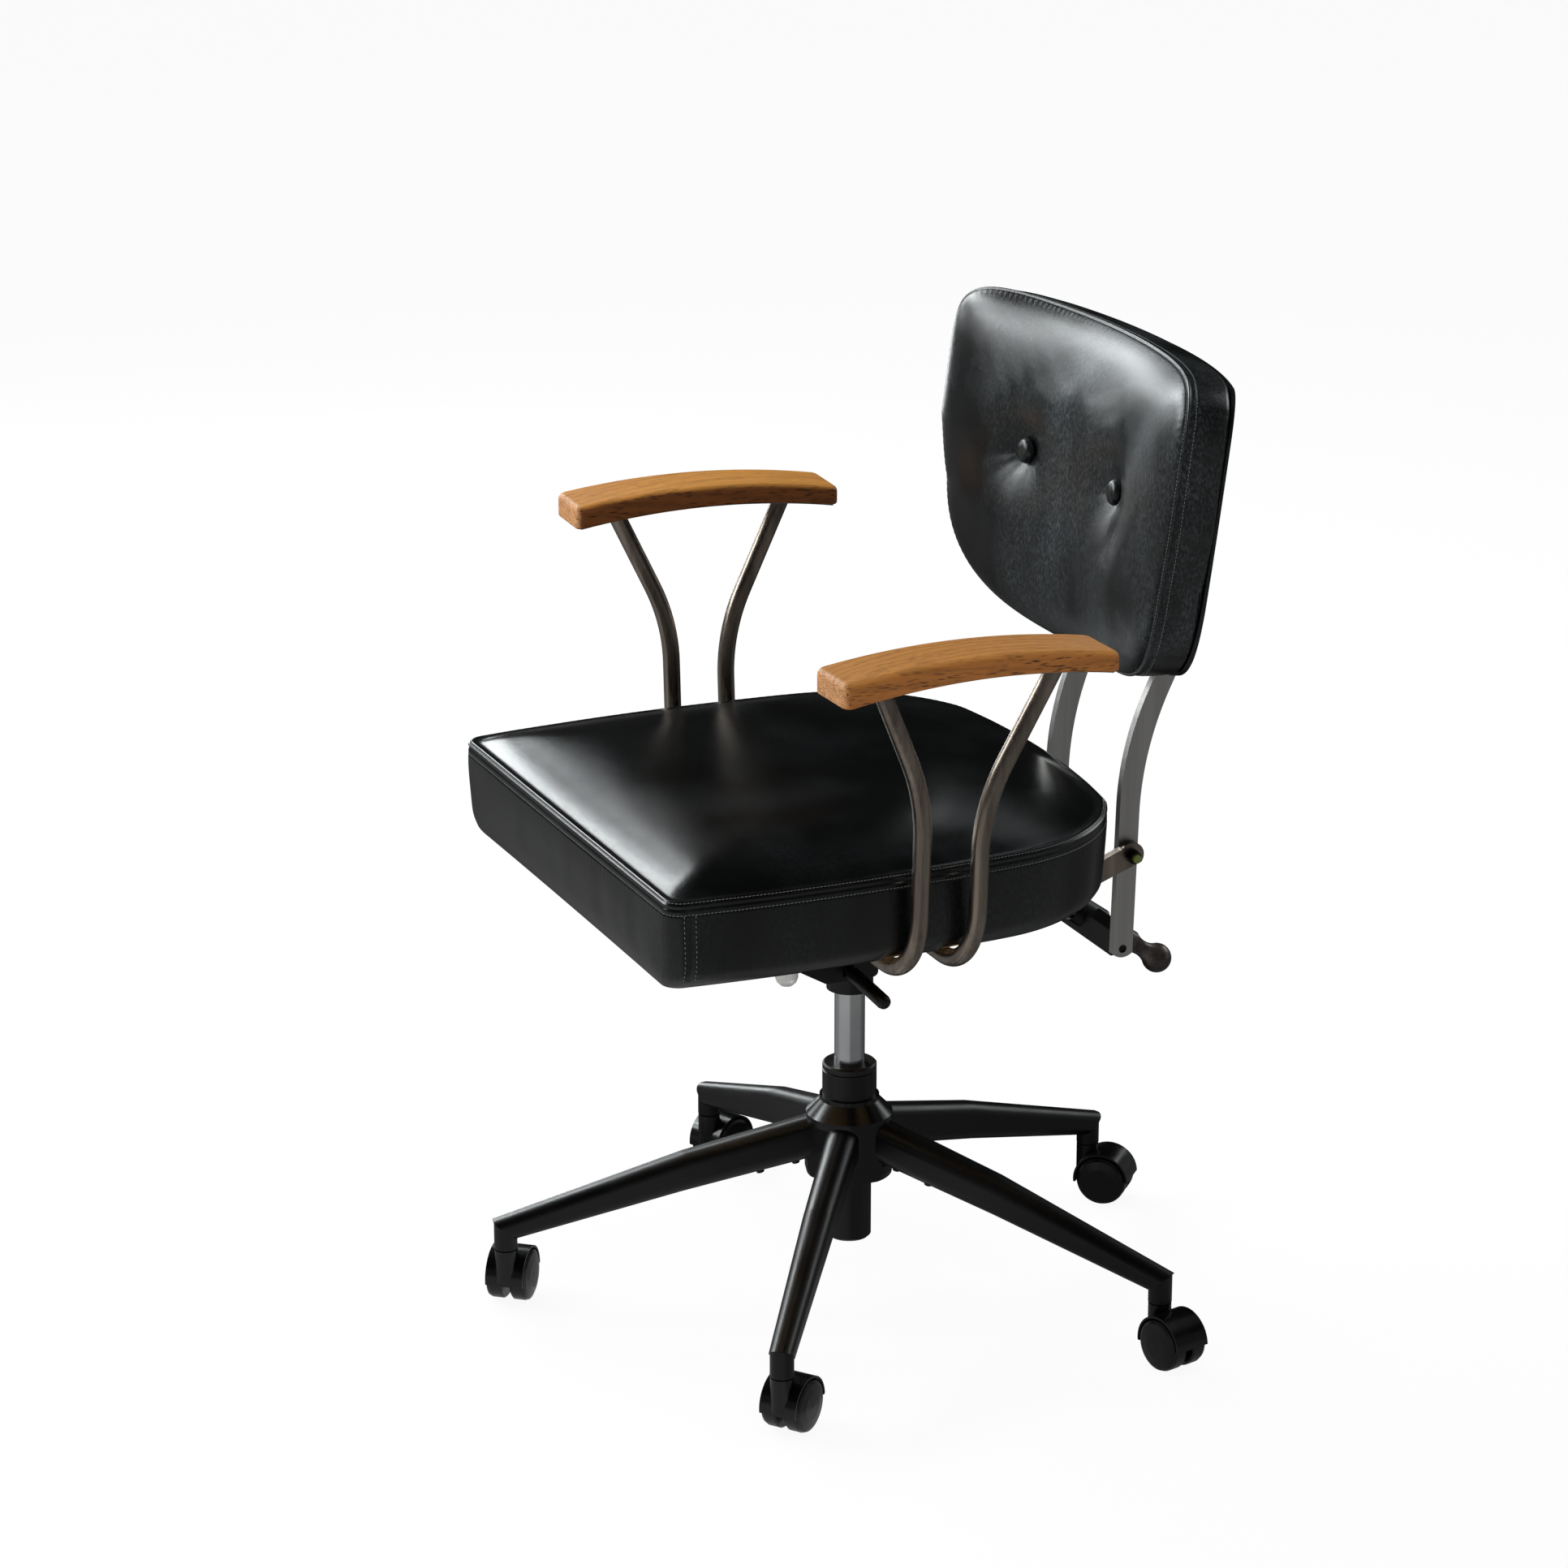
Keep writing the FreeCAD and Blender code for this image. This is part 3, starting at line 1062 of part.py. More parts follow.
feature("back_cushion", back)

# Back shell: a curved panel behind the cushion, thick at the middle and thin at its edge.
half_top = v("back_half_width") - 3
half_low = v("back_foot_half_width") - v("shell_foot_inset")
foot_bulge = half_low + v("shell_foot_bulge")
foot_flat = half_low - v("shell_foot_round")
waist = half_top - v("shell_waist_inset")
waist_up = -v("shell_waist_drop")
corner = v("back_corner")
nip = corner * (1 - math.sqrt(0.5))
shell_top = top_up * 0.96 - v("back_draft") * v("back_band")
shell_low = -low_up * 0.95
foot_up = shell_low + v("shell_foot_rise")
flank_up = (shell_top + waist_up) / 2
rim_half = [
    (Vector(half_top - corner, 0, shell_top), Vector(half_top - nip, 0, shell_top - nip),
     Vector(half_top, 0, shell_top - corner)),
    (Vector(half_top, 0, shell_top - corner), Vector(half_top - 2, 0, flank_up), Vector(waist, 0, waist_up)),
    (Vector(waist, 0, waist_up), Vector(foot_bulge, 0, foot_up), Vector(foot_flat, 0, shell_low)),
]
rim = [Part.LineSegment(Vector(corner - half_top, 0, shell_top), rim_half[0][0]).toShape()]
for a, b, c in rim_half:
    rim.append(Part.Arc(a, b, c).toShape())
rim.append(Part.LineSegment(rim_half[-1][2], Vector(-foot_flat, 0, shell_low)).toShape())
for a, b, c in reversed(rim_half):
    flip = [Vector(-p.x, 0, p.z) for p in (c, b, a)]
    rim.append(Part.Arc(flip[0], flip[1], flip[2]).toShape())
blank = Part.Face(Part.Wire(rim)).extrude(Vector(0, 2 * low_up, 0))
blank.translate(Vector(0, -low_up, 0))
ahead = v("back_band") + v("cushion_gap")
behind = v("back_band") + v("shell_thickness")
tall = 2 * (low_up + top_up)
rear_round = v("shell_wrap_radius")
outer_drum = Part.makeCylinder(rear_round, tall, Vector(0, behind - rear_round, -tall / 2))
inner_drum = Part.makeCylinder(wrap, tall, Vector(0, ahead - wrap, -tall / 2))
shell = blank.common(outer_drum).cut(inner_drum)
shell.Placement = back_pose
feature("back_shell", shell)

# Buttons: covered domes at the bottom of the dimples.
buttons = []
for across, up in button_places:
    dome_r = v("button_diameter") / 2
    seat_in = dimple_r - math.sqrt(dimple_r ** 2 - dome_r ** 2)
    disc_part = Part.makeCylinder(dome_r, v("button_thickness"), Vector(0, 0, 0), Vector(0, 1, 0))
    rim = [e for e in disc_part.Edges if e.Length > 10 and abs(e.CenterOfMass.y) < 0.01]
    disc_part = disc_part.makeFillet(3.0, rim)
    front_face = button_front - v("cushion_gap") - seat_in
    disc_part.Placement = back_pose * Placement(Vector(across, front_face, up), Rotation())
    buttons.append(disc_part)
feature("back_buttons", Part.makeCompound(buttons))

doc.recompute()

faults = [o.Name for o in doc.Objects if "Invalid" in o.State or "Error" in o.State]
for item in nodes:
    if item.Shape.isNull() or not item.Shape.isValid():
        faults.append(item.Label + " shape")
if faults:
    raise RuntimeError("failed: " + ", ".join(faults))
os.makedirs("parts", exist_ok=True)
for item in nodes:
    item.Shape.exportStep("parts/%s.step" % item.Label)
print("%d sub-parts written" % len(nodes))
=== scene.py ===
import math

import bpy
from mathutils import Matrix, Vector, kdtree, noise


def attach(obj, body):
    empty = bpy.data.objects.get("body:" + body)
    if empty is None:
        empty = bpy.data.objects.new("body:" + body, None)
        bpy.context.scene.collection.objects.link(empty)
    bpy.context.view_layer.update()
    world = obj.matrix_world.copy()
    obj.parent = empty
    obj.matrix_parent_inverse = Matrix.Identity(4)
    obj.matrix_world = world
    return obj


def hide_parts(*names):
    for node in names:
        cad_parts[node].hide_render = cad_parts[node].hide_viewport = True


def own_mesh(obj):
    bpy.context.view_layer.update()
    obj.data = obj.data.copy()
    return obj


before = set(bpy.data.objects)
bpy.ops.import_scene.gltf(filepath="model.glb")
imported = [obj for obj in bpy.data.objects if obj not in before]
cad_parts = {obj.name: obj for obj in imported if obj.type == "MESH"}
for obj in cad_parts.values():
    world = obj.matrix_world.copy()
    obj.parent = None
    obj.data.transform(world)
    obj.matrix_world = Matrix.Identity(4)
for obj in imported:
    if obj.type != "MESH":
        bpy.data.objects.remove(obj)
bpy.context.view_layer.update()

# Office chair: black leather seat and buttoned backrest, oiled wooden rests on bent steel tubes,
# flat steel back bars, gas lift and a powder-coated five-star base on twin-wheel castors.
# Metres. Origin on the floor on the lift axis, +Z up, the chair faces -Y.
MM = 0.001
PIVOT = Vector((0.0, 0.2433, 0.4184))


# Colours and nodes.
def shade(text):
    """Linear colour of an sRGB hex value."""
    out = []
    for i in (0, 2, 4):
        c = int(text[i:i + 2], 16) / 255
        out.append(c / 12.92 if c <= 0.04045 else ((c + 0.055) / 1.055) ** 2.4)
    return (*out, 1.0)


def fill(tree, n, inputs):
    """Links or sets a node's inputs."""
    for key, value in inputs.items():
        if isinstance(value, bpy.types.NodeSocket):
            tree.links.new(value, n.inputs[key])
        else:
            n.inputs[key].default_value = value


def add(tree, kind, inputs=None, **settings):
    """Adds one node, sets it, and links or sets its inputs."""
    n = tree.nodes.new(kind)
    for key, value in settings.items():
        setattr(n, key, value)
    fill(tree, n, inputs or {})
    return n


def start(name):
    """An empty material: its tree, its surface shader and its object coordinates."""
    m = bpy.data.materials.new(name)
    m.use_nodes = True
    t = m.node_tree
    t.nodes.clear()
    surface = add(t, "ShaderNodeBsdfPrincipled")
    add(t, "ShaderNodeOutputMaterial", {0: surface.outputs[0]})
    place = add(t, "ShaderNodeTexCoord").outputs["Object"]
    return m, t, surface, place


def dress(node_name, finish):
    """Gives a CAD node its finish."""
    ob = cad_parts[node_name]
    ob.data.materials.clear()
    ob.data.materials.append(finish)


# Finishes. The scale of a noise or cell pattern is how many of its cells lie in a metre, so 820 makes
# cells of 1.2 mm.
def coated_leather(name, haze, rough, grain, folds=0.0):
    """Pigment-coated black leather: fine pebble grain, taut, with soft clouds of pale rubbed grain."""
    m, t, s, place = start(name)
    # pebbles 1.2 mm across, nudged by up to 1 mm so that they don't line up
    warp = add(t, "ShaderNodeTexNoise", {"Vector": place, "Scale": 170.0, "Detail": 2.0})
    moved = add(t, "ShaderNodeVectorMath", {0: warp.outputs["Color"], 1: (0.5, 0.5, 0.5)},
                operation="SUBTRACT")
    nudged = add(t, "ShaderNodeVectorMath", {0: moved.outputs[0], "Scale": 2.2 * MM}, operation="SCALE")
    bent = add(t, "ShaderNodeVectorMath", {0: place, 1: nudged.outputs[0]}, operation="ADD")
    pebble = add(t, "ShaderNodeTexVoronoi", {"Vector": bent.outputs[0], "Scale": 820.0},
                 feature="DISTANCE_TO_EDGE")
    fine = add(t, "ShaderNodeMapRange", {0: pebble.outputs["Distance"], 1: 0.0, 2: 0.25})
    # swells 4 cm apart, where the cover lies a little slack
    slack = add(t, "ShaderNodeTexNoise", {"Vector": place, "Scale": 26.0, "Detail": 2.0, "Roughness": 0.45})
    # upright folds a finger apart, as leather drawn over a foam side shows
    upright = add(t, "ShaderNodeMapping", {"Vector": place, "Scale": (1.0, 1.0, 0.16)})
    drape = add(t, "ShaderNodeTexNoise", {"Vector": upright.outputs[0], "Scale": 62.0, "Detail": 3.0,
                                          "Roughness": 0.5})
    facing = add(t, "ShaderNodeNewGeometry")
    parts = add(t, "ShaderNodeSeparateXYZ", {0: facing.outputs["Normal"]})
    steep = add(t, "ShaderNodeMapRange", {0: parts.outputs["Z"], 1: 0.25, 2: 0.6, 3: folds, 4: 0.0})
    draped = add(t, "ShaderNodeMath", {0: drape.outputs["Fac"], 1: steep.outputs[0]}, operation="MULTIPLY")
    high = add(t, "ShaderNodeMath", {0: slack.outputs["Fac"], 1: 5.0, 2: draped.outputs[0]},
               operation="MULTIPLY_ADD")
    # fine creases 2 mm apart, more than twice as long as they are wide
    hair_at = add(t, "ShaderNodeMapping", {"Vector": bent.outputs[0], "Rotation": (0.0, 0.7, 0.0),
                                           "Scale": (1.0, 0.8, 0.40)})
    hair = add(t, "ShaderNodeTexNoise", {"Vector": hair_at.outputs[0], "Scale": 560.0, "Detail": 3.0,
                                         "Roughness": 0.65})
    creased = add(t, "ShaderNodeMath", {0: hair.outputs["Fac"], 1: 1.5, 2: high.outputs[0]},
                  operation="MULTIPLY_ADD")
    tall = add(t, "ShaderNodeMath", {0: fine.outputs[0], 1: 0.45, 2: creased.outputs[0]},
               operation="MULTIPLY_ADD")
    bump = add(t, "ShaderNodeBump", {"Strength": 0.30 * grain, "Distance": 0.22 * MM,
                                     "Height": tall.outputs[0]})
    # rubbed haze: pale specks of 2 mm gathered in soft slanting clouds 9 cm wide
    slant = add(t, "ShaderNodeMapping", {"Vector": place, "Rotation": (0.0, 0.5, 0.0),
                                         "Scale": (1.0, 1.0, 0.40)})
    cloud = add(t, "ShaderNodeTexNoise", {"Vector": slant.outputs[0], "Scale": 11.0, "Detail": 3.0,
                                          "Roughness": 0.5})
    rubbed = add(t, "ShaderNodeMapRange", {0: cloud.outputs["Fac"], 1: 0.42, 2: 0.78})
    specks = add(t, "ShaderNodeMapRange", {0: hair.outputs["Fac"], 1: 0.44, 2: 0.70, 3: 0.12, 4: 1.0})
    pale = add(t, "ShaderNodeMath", {0: rubbed.outputs[0], 1: specks.outputs[0]}, operation="MULTIPLY")
    shown = add(t, "ShaderNodeMath", {0: pale.outputs[0], 1: haze}, operation="MULTIPLY")
    tone = add(t, "ShaderNodeMix", {0: shown.outputs[0], 6: shade("050606"), 7: shade("5b6367")},
               data_type="RGBA")
    dull = add(t, "ShaderNodeMapRange", {0: rubbed.outputs[0], 1: 0.0, 2: 1.0, 3: rough, 4: rough + 0.06})
    fill(t, s, {"Base Color": tone.outputs[2], "Roughness": dull.outputs[0], "Specular IOR Level": 0.48,
                "Normal": bump.outputs[0]})
    return m


def sewing_thread(name, colour):
    """Waxed polyester thread, twisted, with a dull glint."""
    m, t, s, place = start(name)
    # the twist of the plies, drawn 1 mm long, coarser than it is, so that it shows
    ply = add(t, "ShaderNodeTexNoise", {"Vector": place, "Scale": 900.0, "Detail": 1.0})
    tone = add(t, "ShaderNodeMix", {0: ply.outputs["Fac"], 6: shade(colour), 7: shade("77797b")},
               data_type="RGBA")
    bump = add(t, "ShaderNodeBump", {"Strength": 0.4, "Distance": 0.2 * MM, "Height": ply.outputs["Fac"]})
    fill(t, s, {"Base Color": tone.outputs[2], "Roughness": 0.5, "Normal": bump.outputs[0]})
    return m


def oiled_wood(name, seed, top, side, fleck):
    """Oiled beech: long soft figure on top, short flecks on the sides, low satin; painted light: tops painted
    golden and lit, sides painted darker as shade.
    """
    m, t, s, place = start(name)
    shifted = add(t, "ShaderNodeMapping", {"Vector": place, "Location": (seed, seed * 0.37, seed * 0.71),
                                           "Rotation": (0.05, 0.0, 0.03)})
    # growth rings about 7 mm apart, drawn out along the rest and pushed about by a 3 cm flow
    along = add(t, "ShaderNodeMapping", {"Vector": shifted.outputs[0], "Scale": (1.0, 0.075, 1.0)})
    flow = add(t, "ShaderNodeTexNoise", {"Vector": along.outputs[0], "Scale": 34.0, "Detail": 4.0,
                                         "Roughness": 0.55})
    pushed = add(t, "ShaderNodeVectorMath", {0: flow.outputs["Color"], "Scale": 22.0 * MM}, operation="SCALE")
    rings_at = add(t, "ShaderNodeVectorMath", {0: along.outputs[0], 1: pushed.outputs[0]}, operation="ADD")
    rings = add(t, "ShaderNodeTexWave", {"Vector": rings_at.outputs[0], "Scale": 62.0, "Distortion": 2.5,
                                         "Detail": 3.0, "Detail Scale": 1.6},
                wave_type="BANDS", bands_direction="DIAGONAL")
    late = add(t, "ShaderNodeMapRange", {0: rings.outputs["Fac"], 1: 0.45, 2: 0.98})
    # fibres 1.6 mm wide and 5 cm long
    fibre = add(t, "ShaderNodeMapping", {"Vector": shifted.outputs[0], "Scale": (1.0, 0.035, 1.0)})
    hair = add(t, "ShaderNodeTexNoise", {"Vector": fibre.outputs[0], "Scale": 620.0, "Detail": 3.0})
    # the rays of the timber: flecks 1 mm wide and 8 mm long, thick on the sides and thin on top
    fleck_at = add(t, "ShaderNodeMapping", {"Vector": shifted.outputs[0], "Scale": (1.0, 0.13, 1.0)})
    flecks = add(t, "ShaderNodeTexVoronoi", {"Vector": fleck_at.outputs[0], "Scale": 560.0})
    dots = add(t, "ShaderNodeMapRange", {0: flecks.outputs["Distance"], 1: 0.20, 2: 0.44, 3: 1.0, 4: 0.0})
    sown = add(t, "ShaderNodeTexNoise", {"Vector": along.outputs[0], "Scale": 120.0, "Detail": 2.0})
    thick = add(t, "ShaderNodeMapRange", {0: sown.outputs["Fac"], 1: 0.33, 2: 0.55})
    pits = add(t, "ShaderNodeMath", {0: dots.outputs[0], 1: thick.outputs[0]}, operation="MULTIPLY")
    facing = add(t, "ShaderNodeNewGeometry")
    parts = add(t, "ShaderNodeSeparateXYZ", {0: facing.outputs["Normal"]})
    # painted light: faces turned up take the lit top colour, upright faces the darker, shaded side colour
    top_light_share = add(t, "ShaderNodeMapRange", {0: parts.outputs["Z"], 1: 0.35, 2: 0.85})
    lit_and_shaded_ground = add(t, "ShaderNodeMix", {0: top_light_share.outputs[0], 6: shade(side), 7: shade(top)}, data_type="RGBA")
    # painted light: faces turned to the front, towards the front lamps, are painted paler than the sides
    forward = add(t, "ShaderNodeMapRange", {0: parts.outputs["Y"], 1: -0.9, 2: -0.5, 3: 1.0, 4: 0.0})
    lit_and_shaded_ground = add(t, "ShaderNodeMix", {0: forward.outputs[0], 6: lit_and_shaded_ground.outputs[2], 7: shade("c48d5c")},
                 data_type="RGBA")
    deep = add(t, "ShaderNodeMix", {0: 0.5, 6: lit_and_shaded_ground.outputs[2], 7: shade(fleck)}, data_type="RGBA")
    band = add(t, "ShaderNodeMath", {0: late.outputs[0], 1: 0.42}, operation="MULTIPLY")
    figured = add(t, "ShaderNodeMix", {0: band.outputs[0], 6: lit_and_shaded_ground.outputs[2], 7: deep.outputs[2]},
                  data_type="RGBA")
    blush = add(t, "ShaderNodeMapRange", {0: flow.outputs["Fac"], 1: 0.50, 2: 0.80, 3: 0.0, 4: 0.55})
    tone = add(t, "ShaderNodeMix", {0: blush.outputs[0], 6: figured.outputs[2], 7: shade("8a4f27")},
               data_type="RGBA")
    hairs = add(t, "ShaderNodeMapRange", {0: hair.outputs["Fac"], 1: 0.46, 2: 0.78, 3: 0.0, 4: 0.40})
    fine = add(t, "ShaderNodeMix", {0: hairs.outputs[0], 6: tone.outputs[2], 7: deep.outputs[2]},
               data_type="RGBA")
    share = add(t, "ShaderNodeMapRange", {0: top_light_share.outputs[0], 1: 0.0, 2: 1.0, 3: 0.92, 4: 0.34})
    dark = add(t, "ShaderNodeMath", {0: pits.outputs[0], 1: share.outputs[0]}, operation="MULTIPLY")
    last = add(t, "ShaderNodeMix", {0: dark.outputs[0], 6: fine.outputs[2], 7: shade(fleck)},
               data_type="RGBA")
    dull = add(t, "ShaderNodeMapRange", {0: hair.outputs["Fac"], 1: 0.3, 2: 0.7, 3: 0.42, 4: 0.54})
    hollow = add(t, "ShaderNodeMath", {0: pits.outputs[0], 1: -1.0, 2: hair.outputs["Fac"]},
                 operation="MULTIPLY_ADD")
    bump = add(t, "ShaderNodeBump", {"Strength": 0.35, "Distance": 0.25 * MM, "Height": hollow.outputs[0]})
    fill(t, s, {"Base Color": last.outputs[2], "Roughness": dull.outputs[0], "Specular IOR Level": 0.22,
                "Normal": bump.outputs[0]})
    return m


def drawn_steel(name, dark, light, rough, stretch, polish=0.0):
    """Bare steel under clear lacquer: streaks along the drawing direction and darker mill scale."""
    m, t, s, place = start(name)
    # streaks 2 mm apart, coarser than a drawing die leaves, so that they show, over 17 mm clouds of scale
    lines_at = add(t, "ShaderNodeMapping", {"Vector": place, "Scale": stretch})
    lines = add(t, "ShaderNodeTexNoise", {"Vector": lines_at.outputs[0], "Scale": 520.0, "Detail": 4.0})
    mill = add(t, "ShaderNodeTexNoise", {"Vector": lines_at.outputs[0], "Scale": 60.0, "Detail": 5.0})
    both = add(t, "ShaderNodeMath", {0: lines.outputs["Fac"], 1: 0.35, 2: mill.outputs["Fac"]},
               operation="MULTIPLY_ADD")
    part = add(t, "ShaderNodeMapRange", {0: both.outputs[0], 1: 0.45, 2: 0.95})
    tone = add(t, "ShaderNodeMix", {0: part.outputs[0], 6: shade(dark), 7: shade(light)}, data_type="RGBA")
    dull = add(t, "ShaderNodeMapRange", {0: lines.outputs["Fac"], 1: 0.3, 2: 0.7,
                                         3: rough - 0.05, 4: rough + 0.07})
    bump = add(t, "ShaderNodeBump", {"Strength": 0.25, "Distance": 0.12 * MM, "Height": lines.outputs["Fac"]})
    fill(t, s, {"Base Color": tone.outputs[2], "Metallic": 1.0, "Roughness": dull.outputs[0],
                "Normal": bump.outputs[0]})
    if polish:
        fill(t, s, {"Coat Weight": polish, "Coat Roughness": 0.12})
    return m


def powder_coat(name, colour, edge, rough, peel=1.0):
    """Baked powder coat on steel: faint orange peel, low satin gloss."""
    m, t, s, place = start(name)
    # orange peel 3 mm across under 4 cm clouds of dust
    skin = add(t, "ShaderNodeTexNoise", {"Vector": place, "Scale": 330.0, "Detail": 3.0})
    dust = add(t, "ShaderNodeTexNoise", {"Vector": place, "Scale": 24.0, "Detail": 6.0})
    part = add(t, "ShaderNodeMapRange", {0: dust.outputs["Fac"], 1: 0.45, 2: 0.85, 3: 0.0, 4: 0.5})
    tone = add(t, "ShaderNodeMix", {0: part.outputs[0], 6: shade(colour), 7: shade(edge)}, data_type="RGBA")
    dull = add(t, "ShaderNodeMapRange", {0: dust.outputs["Fac"], 1: 0.3, 2: 0.7,
                                         3: rough - 0.04, 4: rough + 0.05})
    bump = add(t, "ShaderNodeBump", {"Strength": 0.35 * peel, "Distance": 0.18 * MM,
                                     "Height": skin.outputs["Fac"]})
    fill(t, s, {"Base Color": tone.outputs[2], "Roughness": dull.outputs[0], "Specular IOR Level": 0.4,
                "Normal": bump.outputs[0]})
    return m


def moulded_nylon(name, colour, edge, rough, spark):
    """Injection-moulded nylon: near-black, faint flow marks and a fine spark-eroded texture."""
    m, t, s, place = start(name)
    # spark pits of 0.9 mm, coarser than real ones so that they show, and flow marks of 25 mm
    pits = add(t, "ShaderNodeTexNoise", {"Vector": place, "Scale": 1100.0, "Detail": 1.0})
    flow = add(t, "ShaderNodeTexNoise", {"Vector": place, "Scale": 40.0, "Detail": 4.0})
    part = add(t, "ShaderNodeMapRange", {0: flow.outputs["Fac"], 1: 0.4, 2: 0.8, 3: 0.0, 4: 0.6})
    tone = add(t, "ShaderNodeMix", {0: part.outputs[0], 6: shade(colour), 7: shade(edge)}, data_type="RGBA")
    dull = add(t, "ShaderNodeMapRange", {0: flow.outputs["Fac"], 1: 0.3, 2: 0.7,
                                         3: rough - 0.04, 4: rough + 0.06})
    bump = add(t, "ShaderNodeBump", {"Strength": spark, "Distance": 0.12 * MM, "Height": pits.outputs["Fac"]})
    fill(t, s, {"Base Color": tone.outputs[2], "Roughness": dull.outputs[0], "Normal": bump.outputs[0]})
    return m


def hard_chrome():
    """Ground and hard-chromed piston rod: rings from grinding, a hair of oil."""
    m, t, s, place = start("hard_chrome")
    # grinding rings 1 mm apart, coarser than real ones so that they show, and smears of oil 3 cm wide
    turns_at = add(t, "ShaderNodeMapping", {"Vector": place, "Scale": (0.02, 0.02, 1.0)})
    turns = add(t, "ShaderNodeTexNoise", {"Vector": turns_at.outputs[0], "Scale": 900.0, "Detail": 2.0})
    smear = add(t, "ShaderNodeTexNoise", {"Vector": place, "Scale": 30.0, "Detail": 4.0})
    tone = add(t, "ShaderNodeMix", {0: smear.outputs["Fac"], 6: shade("b4b6b8"), 7: shade("d6d7d8")},
               data_type="RGBA")
    dull = add(t, "ShaderNodeMapRange", {0: turns.outputs["Fac"], 1: 0.3, 2: 0.7, 3: 0.17, 4: 0.27})
    bump = add(t, "ShaderNodeBump", {"Strength": 0.2, "Distance": 0.08 * MM, "Height": turns.outputs["Fac"]})
    fill(t, s, {"Base Color": tone.outputs[2], "Metallic": 1.0, "Roughness": dull.outputs[0],
                "Normal": bump.outputs[0]})
    return m


def gunmetal_lacquer():
    """Dark gunmetal lacquer over a turned knob: warm grey-brown, worn a little on the crown."""
    m, t, s, place = start("gunmetal_lacquer")
    # wear in patches of 14 mm
    wear = add(t, "ShaderNodeTexNoise", {"Vector": place, "Scale": 70.0, "Detail": 6.0})
    part = add(t, "ShaderNodeMapRange", {0: wear.outputs["Fac"], 1: 0.45, 2: 0.7})
    tone = add(t, "ShaderNodeMix", {0: part.outputs[0], 6: shade("4a4542"), 7: shade("7b736f")},
               data_type="RGBA")
    dull = add(t, "ShaderNodeMapRange", {0: wear.outputs["Fac"], 1: 0.3, 2: 0.7, 3: 0.27, 4: 0.40})
    bump = add(t, "ShaderNodeBump", {"Strength": 0.2, "Distance": 0.2 * MM, "Height": wear.outputs["Fac"]})
    fill(t, s, {"Base Color": tone.outputs[2], "Metallic": 0.8, "Roughness": dull.outputs[0],
                "Normal": bump.outputs[0]})
    return m


def milky_polypropylene():
    """Unpigmented polypropylene: milky, light passes into it, soft gloss."""
    m, t, s, place = start("milky_polypropylene")
    # clouds of 12 mm in the moulding
    cloudy = add(t, "ShaderNodeTexNoise", {"Vector": place, "Scale": 80.0, "Detail": 3.0})
    tone = add(t, "ShaderNodeMix", {0: cloudy.outputs["Fac"], 6: shade("c9cbc9"), 7: shade("e4e5e3")},
               data_type="RGBA")
    bump = add(t, "ShaderNodeBump", {"Strength": 0.15, "Distance": 0.3 * MM, "Height": cloudy.outputs["Fac"]})
    fill(t, s, {"Base Color": tone.outputs[2], "IOR": 1.49, "Transmission Weight": 0.35, "Roughness": 0.32,
                "Normal": bump.outputs[0]})
    return m


def pivot_fasteners():
    """Black-oxide nut and head, with a yellow-green passivated bolt end on the pivot's axis."""
    m, t, s, place = start("black_oxide_and_passivated_zinc")
    split = add(t, "ShaderNodeSeparateXYZ", {0: place})
    dy = add(t, "ShaderNodeMath", {0: split.outputs["Y"], 1: PIVOT.y}, operation="SUBTRACT")
    dz = add(t, "ShaderNodeMath", {0: split.outputs["Z"], 1: PIVOT.z}, operation="SUBTRACT")
    yy = add(t, "ShaderNodeMath", {0: dy.outputs[0], 1: dy.outputs[0]}, operation="MULTIPLY")
    rr = add(t, "ShaderNodeMath", {0: dz.outputs[0], 1: dz.outputs[0], 2: yy.outputs[0]},
             operation="MULTIPLY_ADD")
    far = add(t, "ShaderNodeMath", {0: rr.outputs[0]}, operation="SQRT")
    # the bolt's end is 8 mm across
    inside = add(t, "ShaderNodeMapRange", {0: far.outputs[0], 1: 4.0 * MM, 2: 4.3 * MM, 3: 1.0, 4: 0.0})
    tone = add(t, "ShaderNodeMix", {0: inside.outputs[0], 6: shade("151516"), 7: shade("8fa05a")},
               data_type="RGBA")
    # etched grit of 1.2 mm
    grit = add(t, "ShaderNodeTexNoise", {"Vector": place, "Scale": 800.0, "Detail": 2.0})
    dull = add(t, "ShaderNodeMapRange", {0: grit.outputs["Fac"], 1: 0.3, 2: 0.7, 3: 0.30, 4: 0.45})
    bump = add(t, "ShaderNodeBump", {"Strength": 0.2, "Distance": 0.15 * MM, "Height": grit.outputs["Fac"]})
    fill(t, s, {"Base Color": tone.outputs[2], "Metallic": 0.85, "Roughness": dull.outputs[0],
                "Normal": bump.outputs[0]})
    return m


